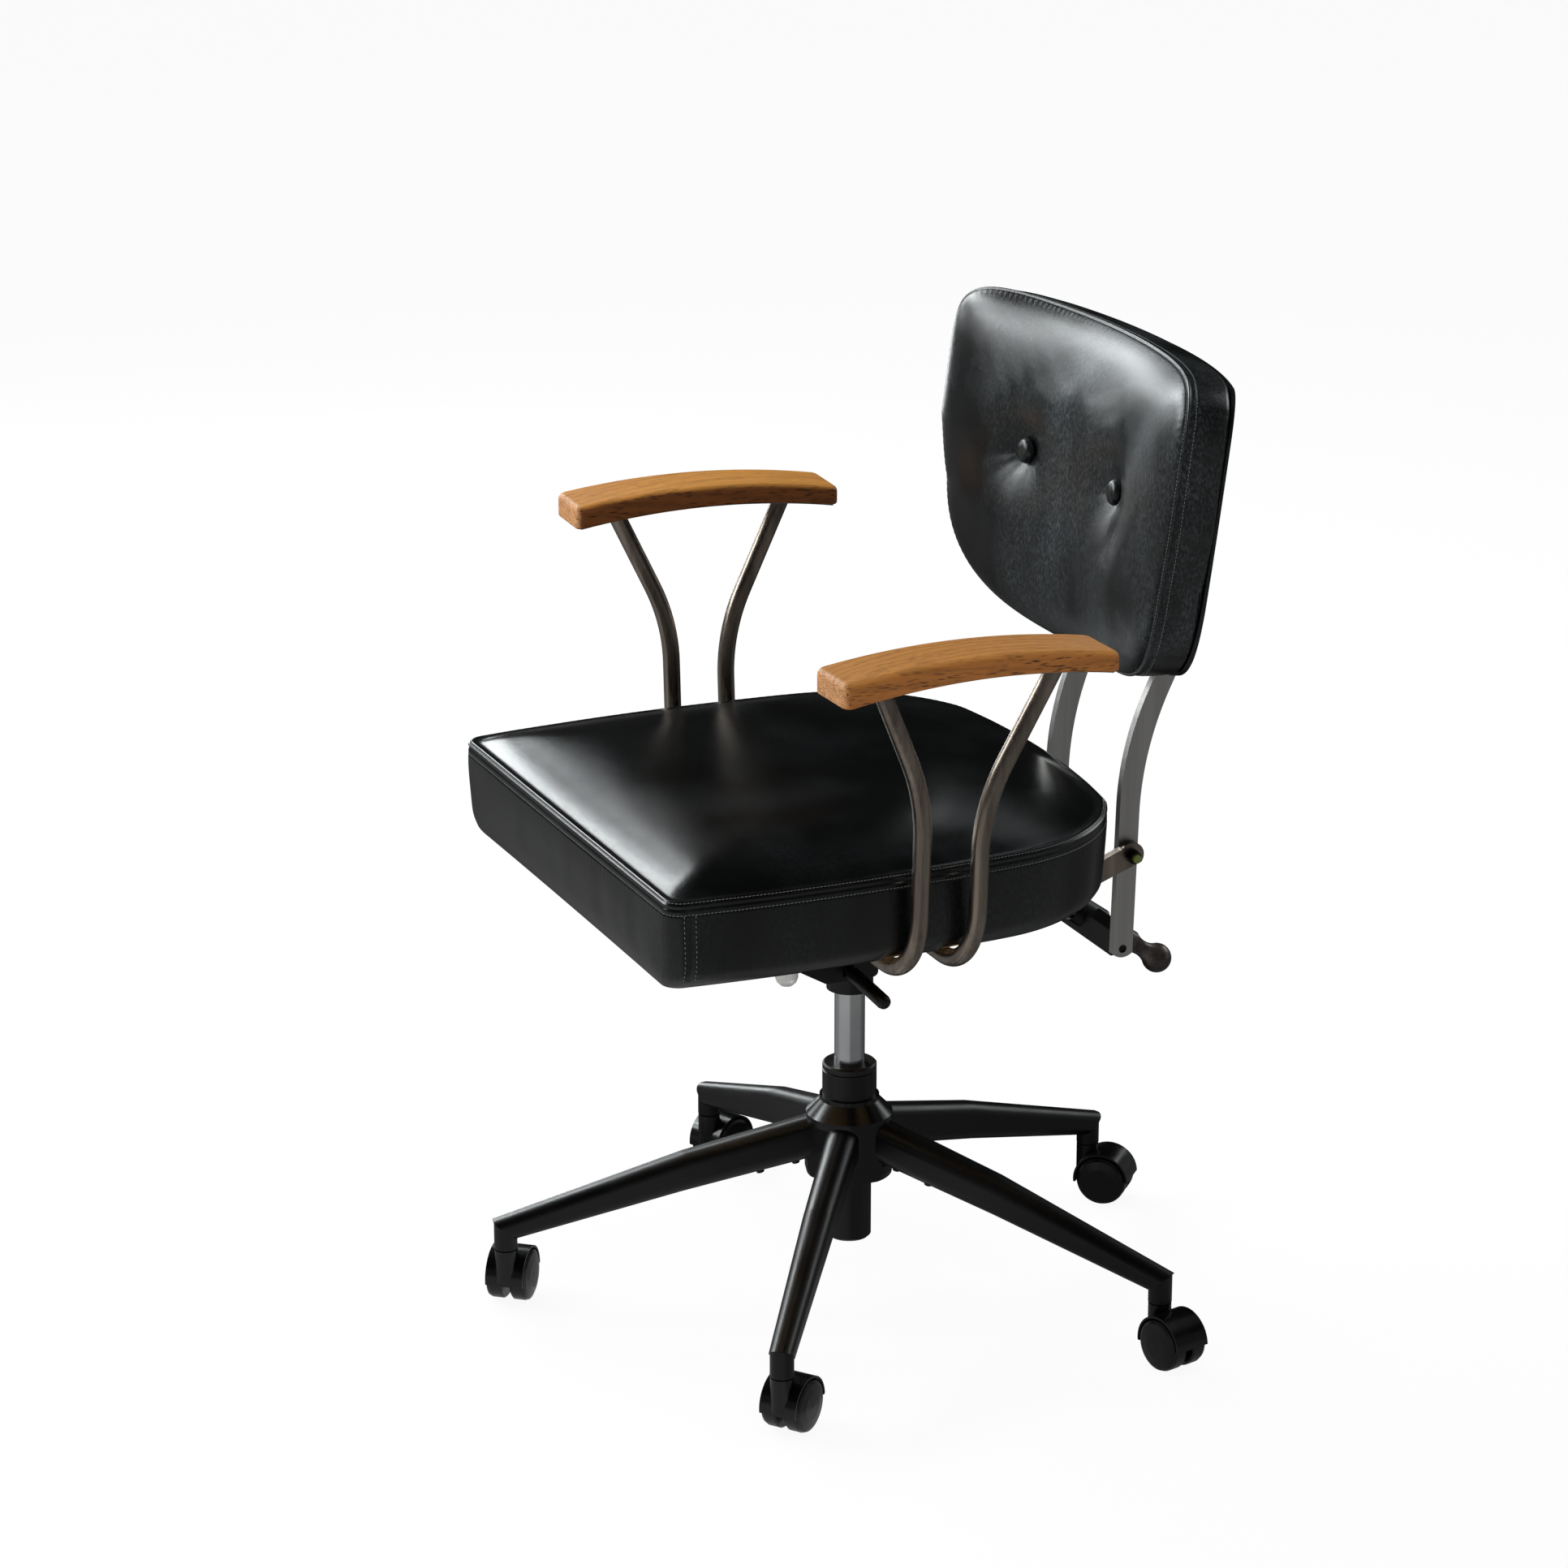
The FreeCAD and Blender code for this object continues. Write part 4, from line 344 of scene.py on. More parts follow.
def birch_ply():
    """Raw birch plywood: pale face, thin veneers at the edge."""
    m, t, s, place = start("birch_plywood")
    # veneers 1.5 mm thick, and a face figure 17 mm wide and 20 cm long
    veneer = add(t, "ShaderNodeTexWave", {"Vector": place, "Scale": 210.0, "Distortion": 0.6},
                 bands_direction="Z")
    figure_at = add(t, "ShaderNodeMapping", {"Vector": place, "Scale": (1.0, 0.08, 1.0)})
    figure = add(t, "ShaderNodeTexNoise", {"Vector": figure_at.outputs[0], "Scale": 60.0, "Detail": 6.0})
    pale = add(t, "ShaderNodeMix", {0: figure.outputs["Fac"], 6: shade("c9a878"), 7: shade("a98555")},
               data_type="RGBA")
    lines = add(t, "ShaderNodeMapRange", {0: veneer.outputs["Fac"], 1: 0.4, 2: 0.9, 3: 0.0, 4: 0.5})
    edge = add(t, "ShaderNodeMix", {0: lines.outputs[0], 6: pale.outputs[2], 7: shade("6e5133")},
               data_type="RGBA")
    bump = add(t, "ShaderNodeBump", {"Strength": 0.2, "Distance": 0.2 * MM, "Height": figure.outputs["Fac"]})
    fill(t, s, {"Base Color": edge.outputs[2], "Roughness": 0.7, "Normal": bump.outputs[0]})
    return m


# Making meshes.
def piece(name, points, faces, material):
    """A smooth-shaded piece of the chair, from its points and faces."""
    mesh = bpy.data.meshes.new(name)
    mesh.from_pydata([tuple(p) for p in points], [], faces)
    mesh.materials.append(material)
    mesh.polygons.foreach_set("use_smooth", [True] * len(mesh.polygons))
    mesh.update()
    ob = bpy.data.objects.new(name, mesh)
    bpy.context.scene.collection.objects.link(ob)
    return ob


def ring_faces(rows, count, capped=True):
    """Quads between closed rings, and fans to the two centre points that follow the rings."""
    faces = []
    for r in range(rows - 1):
        for i in range(count):
            j = (i + 1) % count
            faces.append((r * count + i, r * count + j, (r + 1) * count + j, (r + 1) * count + i))
    if capped:
        low = rows * count
        top = low - count
        faces += [(low, (i + 1) % count, i) for i in range(count)]
        faces += [(low + 1, top + i, top + (i + 1) % count) for i in range(count)]
    return faces


def even_steps(line, count):
    """A closed line of points taken again at even distances."""
    ring = list(line) + [line[0]]
    runs = [0.0]
    for a, b in zip(ring, ring[1:]):
        runs.append(runs[-1] + (b - a).length)
    out = []
    k = 0
    for i in range(count):
        want = runs[-1] * i / count
        while runs[k + 1] < want:
            k += 1
        share = (want - runs[k]) / max(runs[k + 1] - runs[k], 1e-9)
        out.append(ring[k].lerp(ring[k + 1], share))
    return out


def three_point_arc(a, b, c, count):
    """Points from a to c, short of c, on the circle through a, b and c, in plan."""
    ax, ay, bx, by, cx, cy = a.x, a.y, b.x, b.y, c.x, c.y
    aa, bb, cc = ax * ax + ay * ay, bx * bx + by * by, cx * cx + cy * cy
    d = 2 * (ax * (by - cy) + bx * (cy - ay) + cx * (ay - by))
    ux = (aa * (by - cy) + bb * (cy - ay) + cc * (ay - by)) / d
    uy = (aa * (cx - bx) + bb * (ax - cx) + cc * (bx - ax)) / d
    hub = Vector((ux, uy))
    begin = math.atan2(ay - uy, ax - ux)
    middle = (math.atan2(by - uy, bx - ux) - begin) % (2 * math.pi)
    end = (math.atan2(cy - uy, cx - ux) - begin) % (2 * math.pi)
    if middle > end:
        end -= 2 * math.pi
    r = (a - hub).length
    return [hub + Vector((math.cos(begin + end * i / count), math.sin(begin + end * i / count))) * r
            for i in range(count)]


def curve_through(keys, parts):
    """Smooth run through rows of numbers, each span cut into parts."""
    out = []
    for i in range(len(keys) - 1):
        p0, p1, p2, p3 = keys[max(i - 1, 0)], keys[i], keys[i + 1], keys[min(i + 2, len(keys) - 1)]
        for j in range(parts):
            t = j / parts
            out.append([0.5 * (2 * b + (c - a) * t + (2 * a - 5 * b + 4 * c - d) * t * t
                               + (3 * b - a - 3 * c + d) * t ** 3) for a, b, c, d in zip(p0, p1, p2, p3)])
    out.append(list(keys[-1]))
    return out


def bell(x, centre, width):
    """A smooth bump of height 1."""
    return math.exp(-((x - centre) / width) ** 2)


def from_seam(rings, seam):
    """Distance of every point from the seam ring, along its own column, in mm; positive after the seam."""
    count = len(rings[0])
    away = [[0.0] * count for _ in rings]
    for r in range(seam + 1, len(rings)):
        for i in range(count):
            away[r][i] = away[r - 1][i] + (rings[r][i] - rings[r - 1][i]).length * 1000
    for r in range(seam - 1, -1, -1):
        for i in range(count):
            away[r][i] = away[r + 1][i] - (rings[r][i] - rings[r + 1][i]).length * 1000
    return away


def filled(ob, seam_points, voxel, pressure, most):
    """Stuffs a closed shape: cloth under pressure, sewn lines held, and its capped movement passed on."""
    held_reach, passed_reach, neighbours, frames = 2.2 * voxel, 2.1 * voxel, 44, 20
    copy = bpy.data.objects.new(ob.name + "_stuffing", ob.data.copy())
    bpy.context.scene.collection.objects.link(copy)
    even = copy.modifiers.new("even", "REMESH")
    even.mode = "VOXEL"
    even.voxel_size = voxel
    ready = bpy.data.meshes.new_from_object(copy.evaluated_get(bpy.context.evaluated_depsgraph_get()))
    copy.modifiers.clear()
    copy.data = ready
    rest = [v.co.copy() for v in ready.vertices]
    sewn = kdtree.KDTree(len(seam_points))
    for i, p in enumerate(seam_points):
        sewn.insert(p, i)
    sewn.balance()
    held = copy.vertex_groups.new(name="sewn")
    for i, p in enumerate(rest):
        gap = sewn.find(p)[2]
        held.add([i], max(0.0, 1.0 - gap / held_reach), "REPLACE")
    cloth = copy.modifiers.new("cloth", "CLOTH")
    c = cloth.settings
    c.use_pressure = True
    c.uniform_pressure_force = pressure
    c.effector_weights.gravity = 0.0
    c.vertex_group_mass = "sewn"
    c.quality = 5
    c.mass = 0.3
    c.tension_stiffness = 18
    c.compression_stiffness = 18
    c.bending_stiffness = 4
    cloth.point_cache.frame_start = 1
    cloth.point_cache.frame_end = frames
    for f in range(1, frames + 1):
        bpy.context.scene.frame_set(f)
    shown = bpy.data.meshes.new_from_object(copy.evaluated_get(bpy.context.evaluated_depsgraph_get()))
    shift = []
    for p, v in zip(rest, shown.vertices):
        d = v.co - p
        if d.length > most:
            d = d.normalized() * most
        shift.append(d)
    copy.modifiers.clear()
    bpy.context.scene.frame_set(1)
    near = kdtree.KDTree(len(rest))
    for i, p in enumerate(rest):
        near.insert(p, i)
    near.balance()
    for v in ob.data.vertices:
        total = Vector()
        weight = 1e-12
        for _, k, gap in near.find_n(v.co, neighbours):
            w = bell(gap, 0.0, passed_reach)
            total += shift[k] * w
            weight += w
        v.co = v.co + total / weight
    bpy.data.objects.remove(copy)


def settle(ob, offsets):
    """Moves each vertex along its own normal by its offset."""
    ob.data.update()
    normals = [n.vector.copy() for n in ob.data.vertex_normals]
    for v, n, d in zip(ob.data.vertices, normals, offsets):
        v.co = v.co + n * d
    ob.data.update()


def line_at(ob, away, count, want, lift):
    """The closed line on the surface that lies a set distance from the seam."""
    normals = ob.data.vertex_normals
    out = []
    for i in range(count):
        for r in range(len(away) - 1):
            if away[r][i] <= want <= away[r + 1][i]:
                share = (want - away[r][i]) / max(away[r + 1][i] - away[r][i], 1e-9)
                a, b = r * count + i, (r + 1) * count + i
                spot = ob.data.vertices[a].co.lerp(ob.data.vertices[b].co, share)
                out.append(spot + normals[a].vector * lift)
                break
    return out


def upright_at(ob, away, count, column, low, high, lift):
    """The open line on the surface down one column, between two distances from the seam."""
    normals = ob.data.vertex_normals
    out = []
    for r in range(len(away)):
        if low <= away[r][column] <= high:
            v = r * count + column
            out.append(ob.data.vertices[v].co + normals[v].vector * lift)
    return out


# Sewing.
def stitch_tree():
    """Stitches along a curve: short round-ended lengths of thread, evenly pitched and tipped a little."""
    t = bpy.data.node_groups.new("stitch_row", "GeometryNodeTree")
    face = t.interface
    face.new_socket("Row", in_out="INPUT", socket_type="NodeSocketGeometry")
    for label, size in (("Pitch", 3.4 * MM), ("Thread", 0.42 * MM), ("Length", 2.5 * MM), ("Tip", 0.12)):
        face.new_socket(label, in_out="INPUT", socket_type="NodeSocketFloat").default_value = size
    face.new_socket("Finish", in_out="INPUT", socket_type="NodeSocketMaterial")
    face.new_socket("Stitches", in_out="OUTPUT", socket_type="NodeSocketGeometry")
    source = t.nodes.new("NodeGroupInput").outputs
    points = add(t, "GeometryNodeCurveToPoints", {"Curve": source["Row"], "Length": source["Pitch"]},
                 mode="LENGTH")
    blank = add(t, "GeometryNodeMeshCylinder", {"Vertices": 6, "Side Segments": 3,
                                                "Radius": source["Thread"], "Depth": source["Length"]},
                fill_type="NGON")
    spot = add(t, "GeometryNodeInputPosition")
    high = add(t, "ShaderNodeSeparateXYZ", {0: spot.outputs[0]})
    part = add(t, "ShaderNodeMath", {0: high.outputs["Z"], 1: source["Length"]}, operation="DIVIDE")
    sq = add(t, "ShaderNodeMath", {0: part.outputs[0], 1: part.outputs[0]}, operation="MULTIPLY")
    thin = add(t, "ShaderNodeMath", {0: sq.outputs[0], 1: -2.4, 2: 1.0}, operation="MULTIPLY_ADD")
    thinned = add(t, "ShaderNodeCombineXYZ", {0: thin.outputs[0], 1: thin.outputs[0], 2: 1.0})
    scaled = add(t, "ShaderNodeVectorMath", {0: spot.outputs[0], 1: thinned.outputs[0]},
                 operation="MULTIPLY")
    rounded = add(t, "GeometryNodeSetPosition", {"Geometry": blank.outputs["Mesh"],
                                                 "Position": scaled.outputs[0]})
    facing = add(t, "FunctionNodeAlignRotationToVector", {"Vector": points.outputs["Tangent"]}, axis="Z")
    tip = add(t, "ShaderNodeCombineXYZ", {0: source["Tip"], 1: 0.0, 2: 0.0})
    tipped = add(t, "FunctionNodeRotateRotation", {0: facing.outputs[0], 1: tip.outputs[0]},
                 rotation_space="LOCAL")
    laid = add(t, "GeometryNodeInstanceOnPoints", {"Points": points.outputs["Points"],
                                                   "Instance": rounded.outputs[0],
                                                   "Rotation": tipped.outputs[0]})
    real = add(t, "GeometryNodeRealizeInstances", {0: laid.outputs[0]})
    soft = add(t, "GeometryNodeSetShadeSmooth", {"Geometry": real.outputs[0]})
    done = add(t, "GeometryNodeSetMaterial", {"Geometry": soft.outputs[0], "Material": source["Finish"]})
    out = t.nodes.new("NodeGroupOutput")
    t.links.new(done.outputs[0], out.inputs[0])
    return t


def sewn_rows(name, lines, closed, thread, body, pitch=3.4 * MM, length=2.5 * MM):
    """Rows of stitches along lines of points, as one plain mesh that rides on a body."""
    drawn = bpy.data.curves.new(name, "CURVE")
    drawn.dimensions = "3D"
    for line in lines:
        row = drawn.splines.new("POLY")
        row.points.add(len(line) - 1)
        for p, q in zip(row.points, line):
            p.co = (*q, 1.0)
        row.use_cyclic_u = closed
    rows = bpy.data.objects.new(name + "_rows", drawn)
    bpy.context.scene.collection.objects.link(rows)
    m = rows.modifiers.new("stitches", "NODES")
    m.node_group = STITCHES
    ids = {i.name: i.identifier for i in STITCHES.interface.items_tree if i.in_out == "INPUT"}
    m[ids["Pitch"]] = pitch
    m[ids["Length"]] = length
    m[ids["Finish"]] = thread
    mesh = bpy.data.meshes.new_from_object(rows.evaluated_get(bpy.context.evaluated_depsgraph_get()))
    mesh.name = name
    ob = bpy.data.objects.new(name, mesh)
    bpy.context.scene.collection.objects.link(ob)
    bpy.data.objects.remove(rows)
    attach(ob, body)
    return ob


STITCHES = stitch_tree()


# Seat cushion, in mm.
SEAT_HALF = 253.0
SEAT_FRONT = -279.0
SEAT_REAR = 195.0
SEAT_LOW = 418.2
SEAT_SEAM = 498.2
SEAT_CROWN = 18.0
SEAT_SIDE_JOIN = 246.0
ARM_TUBE_Y = (-59.3, -4.2)
SEAT_ROWS = (2.7, -8.2)
# height, place and width of the folds that the seam and its two sewn rows pull, in mm from the seam
SEAT_FOLDS = ((1.0, 0.0, 1.0), (-0.45, 2.2, 0.9), (-0.8, -2.6, 1.3), (-0.6, -8.2, 1.1))


def seat_plan(count):
    """Outline of the seat in plan, from the middle of the front, by way of +X."""
    w, corner, flare = SEAT_HALF, 16.0, 7.0
    arc_parts, rear_parts = 40, 60
    nip = corner * (1 - math.sqrt(0.5))
    wide = (SEAT_FRONT + SEAT_REAR) / 2 + flare
    turn = SEAT_REAR - 138.0
    last = Vector((w - 107.0, SEAT_REAR - 13.0))
    spans = [
        (Vector((w - flare - corner, SEAT_FRONT)), Vector((w - flare - nip, SEAT_FRONT + nip)),
         Vector((w - flare, SEAT_FRONT + corner))),
        (Vector((w - flare, SEAT_FRONT + corner)), Vector((w, wide)), Vector((w - flare, turn))),
        (Vector((w - flare, turn)), Vector((w - 41.0, SEAT_REAR - 60.0)), last),
        (last, Vector((0.0, SEAT_REAR)), Vector((-last.x, last.y))),
    ]
    line = [Vector((0.0, SEAT_FRONT))]
    for a, b, c in spans[:3]:
        line += three_point_arc(a, b, c, arc_parts)
    half = len(line)
    line += three_point_arc(*spans[3], rear_parts)
    line += [Vector((-p.x, p.y)) for p in reversed(line[1:half])]
    return even_steps(line, count)


def seat_ring(plan, inset, z, front_share, rear_share):
    """One ring of the cushion, drawn in by an inset; the arm tubes press its lower edge in further."""
    front = SEAT_FRONT + inset * front_share
    rear = SEAT_REAR - inset * rear_share
    lower_edge = z < SEAT_SEAM - 20 and 0 < inset < 40
    press_width, press_share = 17.0, 0.38
    ring = []
    for p in plan:
        share = (p.y - SEAT_FRONT) / (SEAT_REAR - SEAT_FRONT)
        x = p.x * (SEAT_HALF - inset) / SEAT_HALF
        y = front + (rear - front) * share
        if lower_edge and abs(p.x) > 150:
            press = min(1.0, sum(bell(p.y, at, press_width) for at in ARM_TUBE_Y))
            x -= math.copysign(press_share * inset * press, x)
        ring.append(Vector((x, y, z)) * MM)
    return ring


def seat_cushion(leather):
    """Boxed cushion: full sides, a folded seam with two sewn rows, a crowned top and a few soft folds."""
    count, parts = 704, 40
    plan = seat_plan(count)
    # inset, height, and the inset's share at the front and at the rear
    keys = [
        (18.0, SEAT_LOW, 0.3, 0.5), (11.5, SEAT_LOW + 6, 0.2, 0.3), (3.4, SEAT_LOW + 18, 0.3, 0.3),
        (0.2, SEAT_LOW + 44, 1.0, 1.0), (0.0, SEAT_SEAM, 1.0, 1.0),
        (9.0, SEAT_SEAM + SEAT_CROWN * 0.21, 1.0, 1.8), (31.0, SEAT_SEAM + SEAT_CROWN * 0.64, 1.0, 2.0),
        (62.0, SEAT_SEAM + SEAT_CROWN * 0.90, 1.05, 1.6), (140.0, SEAT_SEAM + SEAT_CROWN * 0.985, 1.1, 1.1),
        (225.0, SEAT_SEAM + SEAT_CROWN * 1.0, 1.0, 1.0),
    ]
    run = curve_through(keys, parts)
    seam_at = 4 * parts
    away = [0.0]
    for a, b in zip(run, run[1:]):
        away.append(away[-1] + math.hypot(b[0] - a[0], b[1] - a[1]))
    away = [d - away[seam_at] for d in away]
    # rings close together at the seam and further apart away from it
    coarse, fine = 3.2, 0.8
    wanted = [away[0] + coarse * k for k in range(int((-13.0 - away[0]) / coarse) + 1)]
    wanted += [-12.0 + fine * k for k in range(31)]
    step = 13.5
    while step < away[-1] - 4:
        wanted.append(step)
        step += 2.0 if step < 30 else (4.5 if step < 100 else 9.0)
    wanted.append(away[-1])
    rows = []
    k = 0
    for want in wanted:
        while k < len(away) - 2 and away[k + 1] < want:
            k += 1
        share = min(1.0, max(0.0, (want - away[k]) / (away[k + 1] - away[k])))
        rows.append([a + (b - a) * share for a, b in zip(run[k], run[k + 1])])
    # the underside is drawn up by 3.4 mm where the board lies against it
    base = SEAT_LOW + 3.4
    under = [(200.0, base, 1.0, 1.0), (90.0, base, 1.0, 1.0), (31.5, base, 0.9, 0.9),
             (29.2, SEAT_LOW + 1.2, 0.9, 0.9), (26.0, SEAT_LOW + 0.1, 0.6, 0.7)]
    rings = [seat_ring(plan, *row) for row in under + rows]
    seam = min(range(len(rows)), key=lambda n: abs(wanted[n])) + len(under)
    points = [p for ring in rings for p in ring]
    middle = (SEAT_FRONT + SEAT_REAR) / 2
    low = Vector((0.0, middle, base)) * MM
    high = Vector((0.0, middle, SEAT_SEAM + SEAT_CROWN)) * MM
    ob = piece("seat_cushion_leather", points + [low, high], ring_faces(len(rings), count), leather)
    corners = [Vector((side * SEAT_SIDE_JOIN, SEAT_FRONT + 14.0, z)) * MM
               for side in (1, -1) for z in range(420, 499, 3)]
    filled(ob, rings[seam] + corners + rings[3], voxel=6.0 * MM, pressure=4.0, most=3.2 * MM)
    floor = (SEAT_LOW + 3.3) * MM
    for v in ob.data.vertices[:len(under) * count]:
        v.co.z = max(v.co.z, SEAT_LOW * MM)
    for v in list(ob.data.vertices[:3 * count]) + [ob.data.vertices[len(points)]]:
        v.co.z = floor
    away = from_seam(rings, seam)
    offsets = []
    around = 0.0
    run_at = []
    for i in range(count):
        run_at.append(around)
        around += (rings[seam][(i + 1) % count] - rings[seam][i]).length * 1000
    # the side panels are joined to the front one just round each front corner
    joins = [Vector((side * SEAT_SIDE_JOIN, SEAT_FRONT + 19.0)) for side in (1, -1)]
    joined = [min(range(count), key=lambda i: (plan[i] - join).length) for join in joins]
    for r in range(len(rings)):
        for i in range(count):
            s = away[r][i]
            d = sum(tall * bell(s, at, wide) for tall, at, wide in SEAT_FOLDS)
            p = rings[r][i]
            gather = math.sin(run_at[i] * 0.82 + 2.1 * noise.noise(p * 60)) * 0.5
            d += gather * (0.16 * bell(s, 5.0, 2.5) + 0.38 * bell(s, -12.0, 5.0))
            if -70 < s < -3:
                d -= 0.9 * sum(bell(i, c, 0.75) for c in joined)
            if -78 < s < -6:
                fold = noise.noise(Vector((p.x * 34, p.y * 34, p.z * 6)))
                d += 0.85 * fold * math.sin(math.pi * (s + 6) / -72)
            if s > 14:
                d += 0.35 * noise.noise(p * 9.0) * min(1.0, (s - 14) / 40)
            offsets.append(d * MM)
    offsets += [0.0, 0.0]
    settle(ob, offsets)
    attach(ob, "seat")
    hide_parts("seat_cushion")
    return ob, away, count, joined


# Backrest cushion, in mm.
BACK_CENTRE = Vector((0.0, 248.0, 760.2))
BACK_TILT = math.radians(7.4)
BACK_WRAP = 547.0
BACK_HALF = 229.0
BACK_FOOT = 216.0
BACK_UP = 129.0
BACK_DOWN = 166.0
BACK_BAND = 42.0
BACK_BULGE = 29.7
BACK_MID = -18.5
BACK_ROWS = (2.5, -7.6)
BACK_FOLDS = ((1.1, 0.0, 1.0), (-0.6, 2.2, 0.9), (-0.7, -2.4, 1.2), (-0.5, -7.6, 1.0))
BUTTONS = ((87.4, 0.0), (-87.4, -4.5))
BUTTON_RADIUS = 11.75


def wrapped(x):
    """How far the backrest's wrap brings a point forward."""
    return BACK_WRAP - math.sqrt(BACK_WRAP ** 2 - x ** 2)


def back_place(x, deep, up):
    """A point of the backrest's own frame, in mm, set up in the chair's frame."""
    c, s = math.cos(BACK_TILT), math.sin(BACK_TILT)
    return Vector((x, BACK_CENTRE.y + deep * c + up * s, BACK_CENTRE.z - deep * s + up * c)) * MM


def back_plan(count):
    """Outline of the backrest seen from the front: square shoulders, a narrower rounded foot."""
    right = []
    shoulder_parts, foot_parts = 120, 160
    shoulder, foot = 0.25, 3.3
    for k in range(shoulder_parts + 1):
        a = math.pi / 2 * (1 - k / shoulder_parts)
        right.append(Vector((BACK_HALF * math.cos(a) ** shoulder, BACK_UP * math.sin(a) ** shoulder)))
    for k in range(1, foot_parts + 1):
        up = -BACK_DOWN * math.sin(math.pi / 2 * k / foot_parts) ** (2 / foot)
        share = max(0.0, 1 - (-up / BACK_DOWN) ** foot) ** (1 / foot)
        half = BACK_HALF + (BACK_FOOT * share - BACK_HALF) * min(1.0, -up / 60)
        right.append(Vector((max(0.0, half), up)))
    left = [Vector((-p.x, p.y)) for p in reversed(right[1:-1])]
    return even_steps(right + left, count)


def back_rings(plan, rows):
    """Rings of the cushion: share of the outline, and depth behind or ahead of the seam line."""
    rings = []
    for share, kind, amount in rows:
        ring = []
        for p in plan:
            x = p.x * share
            up = BACK_MID + (p.y - BACK_MID) * share
            if kind == "front":
                deep = -wrapped(x) - amount * max(0.0, 1 - share ** 6) ** 0.75
            else:
                deep = -wrapped(x) + amount
                up -= 0.12 * amount * max(0.0, up / BACK_UP) ** 2
            ring.append(back_place(x, deep, up))
        rings.append(ring)
    return rings


def back_cushion(leather):
    """Wrapped, crowned cushion with side bands, folded seams and two deep buttoned tufts."""
    count = 600
    plan = back_plan(count)
    rows = [(0.12, "band", BACK_BAND), (0.5, "band", BACK_BAND), (0.8, "band", BACK_BAND),
            (0.93, "band", BACK_BAND), (0.972, "band", BACK_BAND - 0.1), (0.984, "band", BACK_BAND - 0.8),
            (0.9905, "band", BACK_BAND - 2.4)]
    depth = BACK_BAND - 4.5
    while depth > 0.4:
        part = depth / BACK_BAND
        share = 0.993 + 0.007 * (1 - part) + 0.006 * math.sin(math.pi * part)
        rows.append((share, "band", depth))
        depth -= 0.8 if depth < 13 or depth > 36 else 1.8
    seam = len(rows)
    # the front's rings, close together at the seam
    gaps = [0.0, 0.0005, 0.0012, 0.002, 0.003, 0.0042, 0.0056, 0.0072, 0.009, 0.011, 0.0135, 0.0165, 0.020,
            0.024, 0.029, 0.035, 0.042, 0.050]
    gap = 0.059
    while gap < 0.95:
        gaps.append(gap)
        gap += 0.010 if gap < 0.2 else 0.0135
    rows += [(1.0 - g, "front", BACK_BULGE) for g in gaps]
    rings = back_rings(plan, rows)
    points = [p for ring in rings for p in ring]
    rear = back_place(0, BACK_BAND, BACK_MID)
    front = back_place(0, -BACK_BULGE, BACK_MID)
    ob = piece("back_cushion_leather", points + [rear, front], ring_faces(len(rings), count), leather)
    ob.data.flip_normals()
    filled(ob, rings[seam] + rings[5], voxel=5.5 * MM, pressure=4.0, most=5.5 * MM)
    away = from_seam(rings, seam)
    inward = Vector((0.0, math.cos(BACK_TILT), -math.sin(BACK_TILT)))
    rising = Vector((0.0, math.sin(BACK_TILT), math.cos(BACK_TILT)))
    offsets = []
    pushes = []
    hub = BACK_CENTRE * MM
    # the band is joined just below each upper corner and at each lower one
    joined = [max(range(count), key=lambda i: side * rings[seam][i].x + rise * (rings[seam][i] - hub).z)
              for side in (1, -1) for rise in (0.62, -0.9)]
    for r in range(len(rings)):
        for i in range(count):
            p = rings[r][i]
            s = away[r][i]
            run = i * 2.42
            d = sum(tall * bell(s, at, wide) for tall, at, wide in BACK_FOLDS)
            gather = math.sin(run * 0.86 + 2.3 * noise.noise(p * 55)) * 0.5
            d += gather * (0.35 * bell(s, 6.0, 4.0) + 0.25 * bell(s, -11.0, 4.0))
            push = 0.0
            if s > 8:
                x, up = p.x * 1000, (p - hub).dot(rising) * 1000
                d += 0.4 * noise.noise(p * 10.0) * min(1.0, (s - 8) / 30)
                for bx, bup in BUTTONS:
                    # a wide hollow and a deep pit round each button, with small creases that run out of it
                    out = math.hypot(x - bx, (up - bup) * 0.94)
                    turn = math.atan2(up - bup, x - bx)
                    push += 10.4 * bell(out, 0, 36) + 5.6 * bell(out, 0, 15)
                    crease = math.sin(11 * turn + 1.7 * math.sin(3 * turn + bx))
                    crease += 0.6 * math.sin(17 * turn + 2.0)
                    d += 0.10 * crease * bell(out, 21, 9) + 0.05 * crease * bell(out, 40, 14)
            elif -36 < s < -4:
                fold = 0.6 * noise.noise(Vector((p.x * 30, p.y * 12, p.z * 30)))
                d += fold * math.sin(math.pi * (s + 4) / -32)
            if -41 < s < -1.5:
                d -= 1.1 * sum(bell(i, c, 0.8) for c in joined)
            offsets.append(d * MM)
            pushes.append(push * MM)
    offsets += [0.0, 0.0]
    pushes += [0.0, 0.0]
    for v, push in zip(ob.data.vertices, pushes):
        v.co = v.co + inward * push
    settle(ob, offsets)
    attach(ob, "backrest")
    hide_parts("back_cushion")
    return ob, away, count


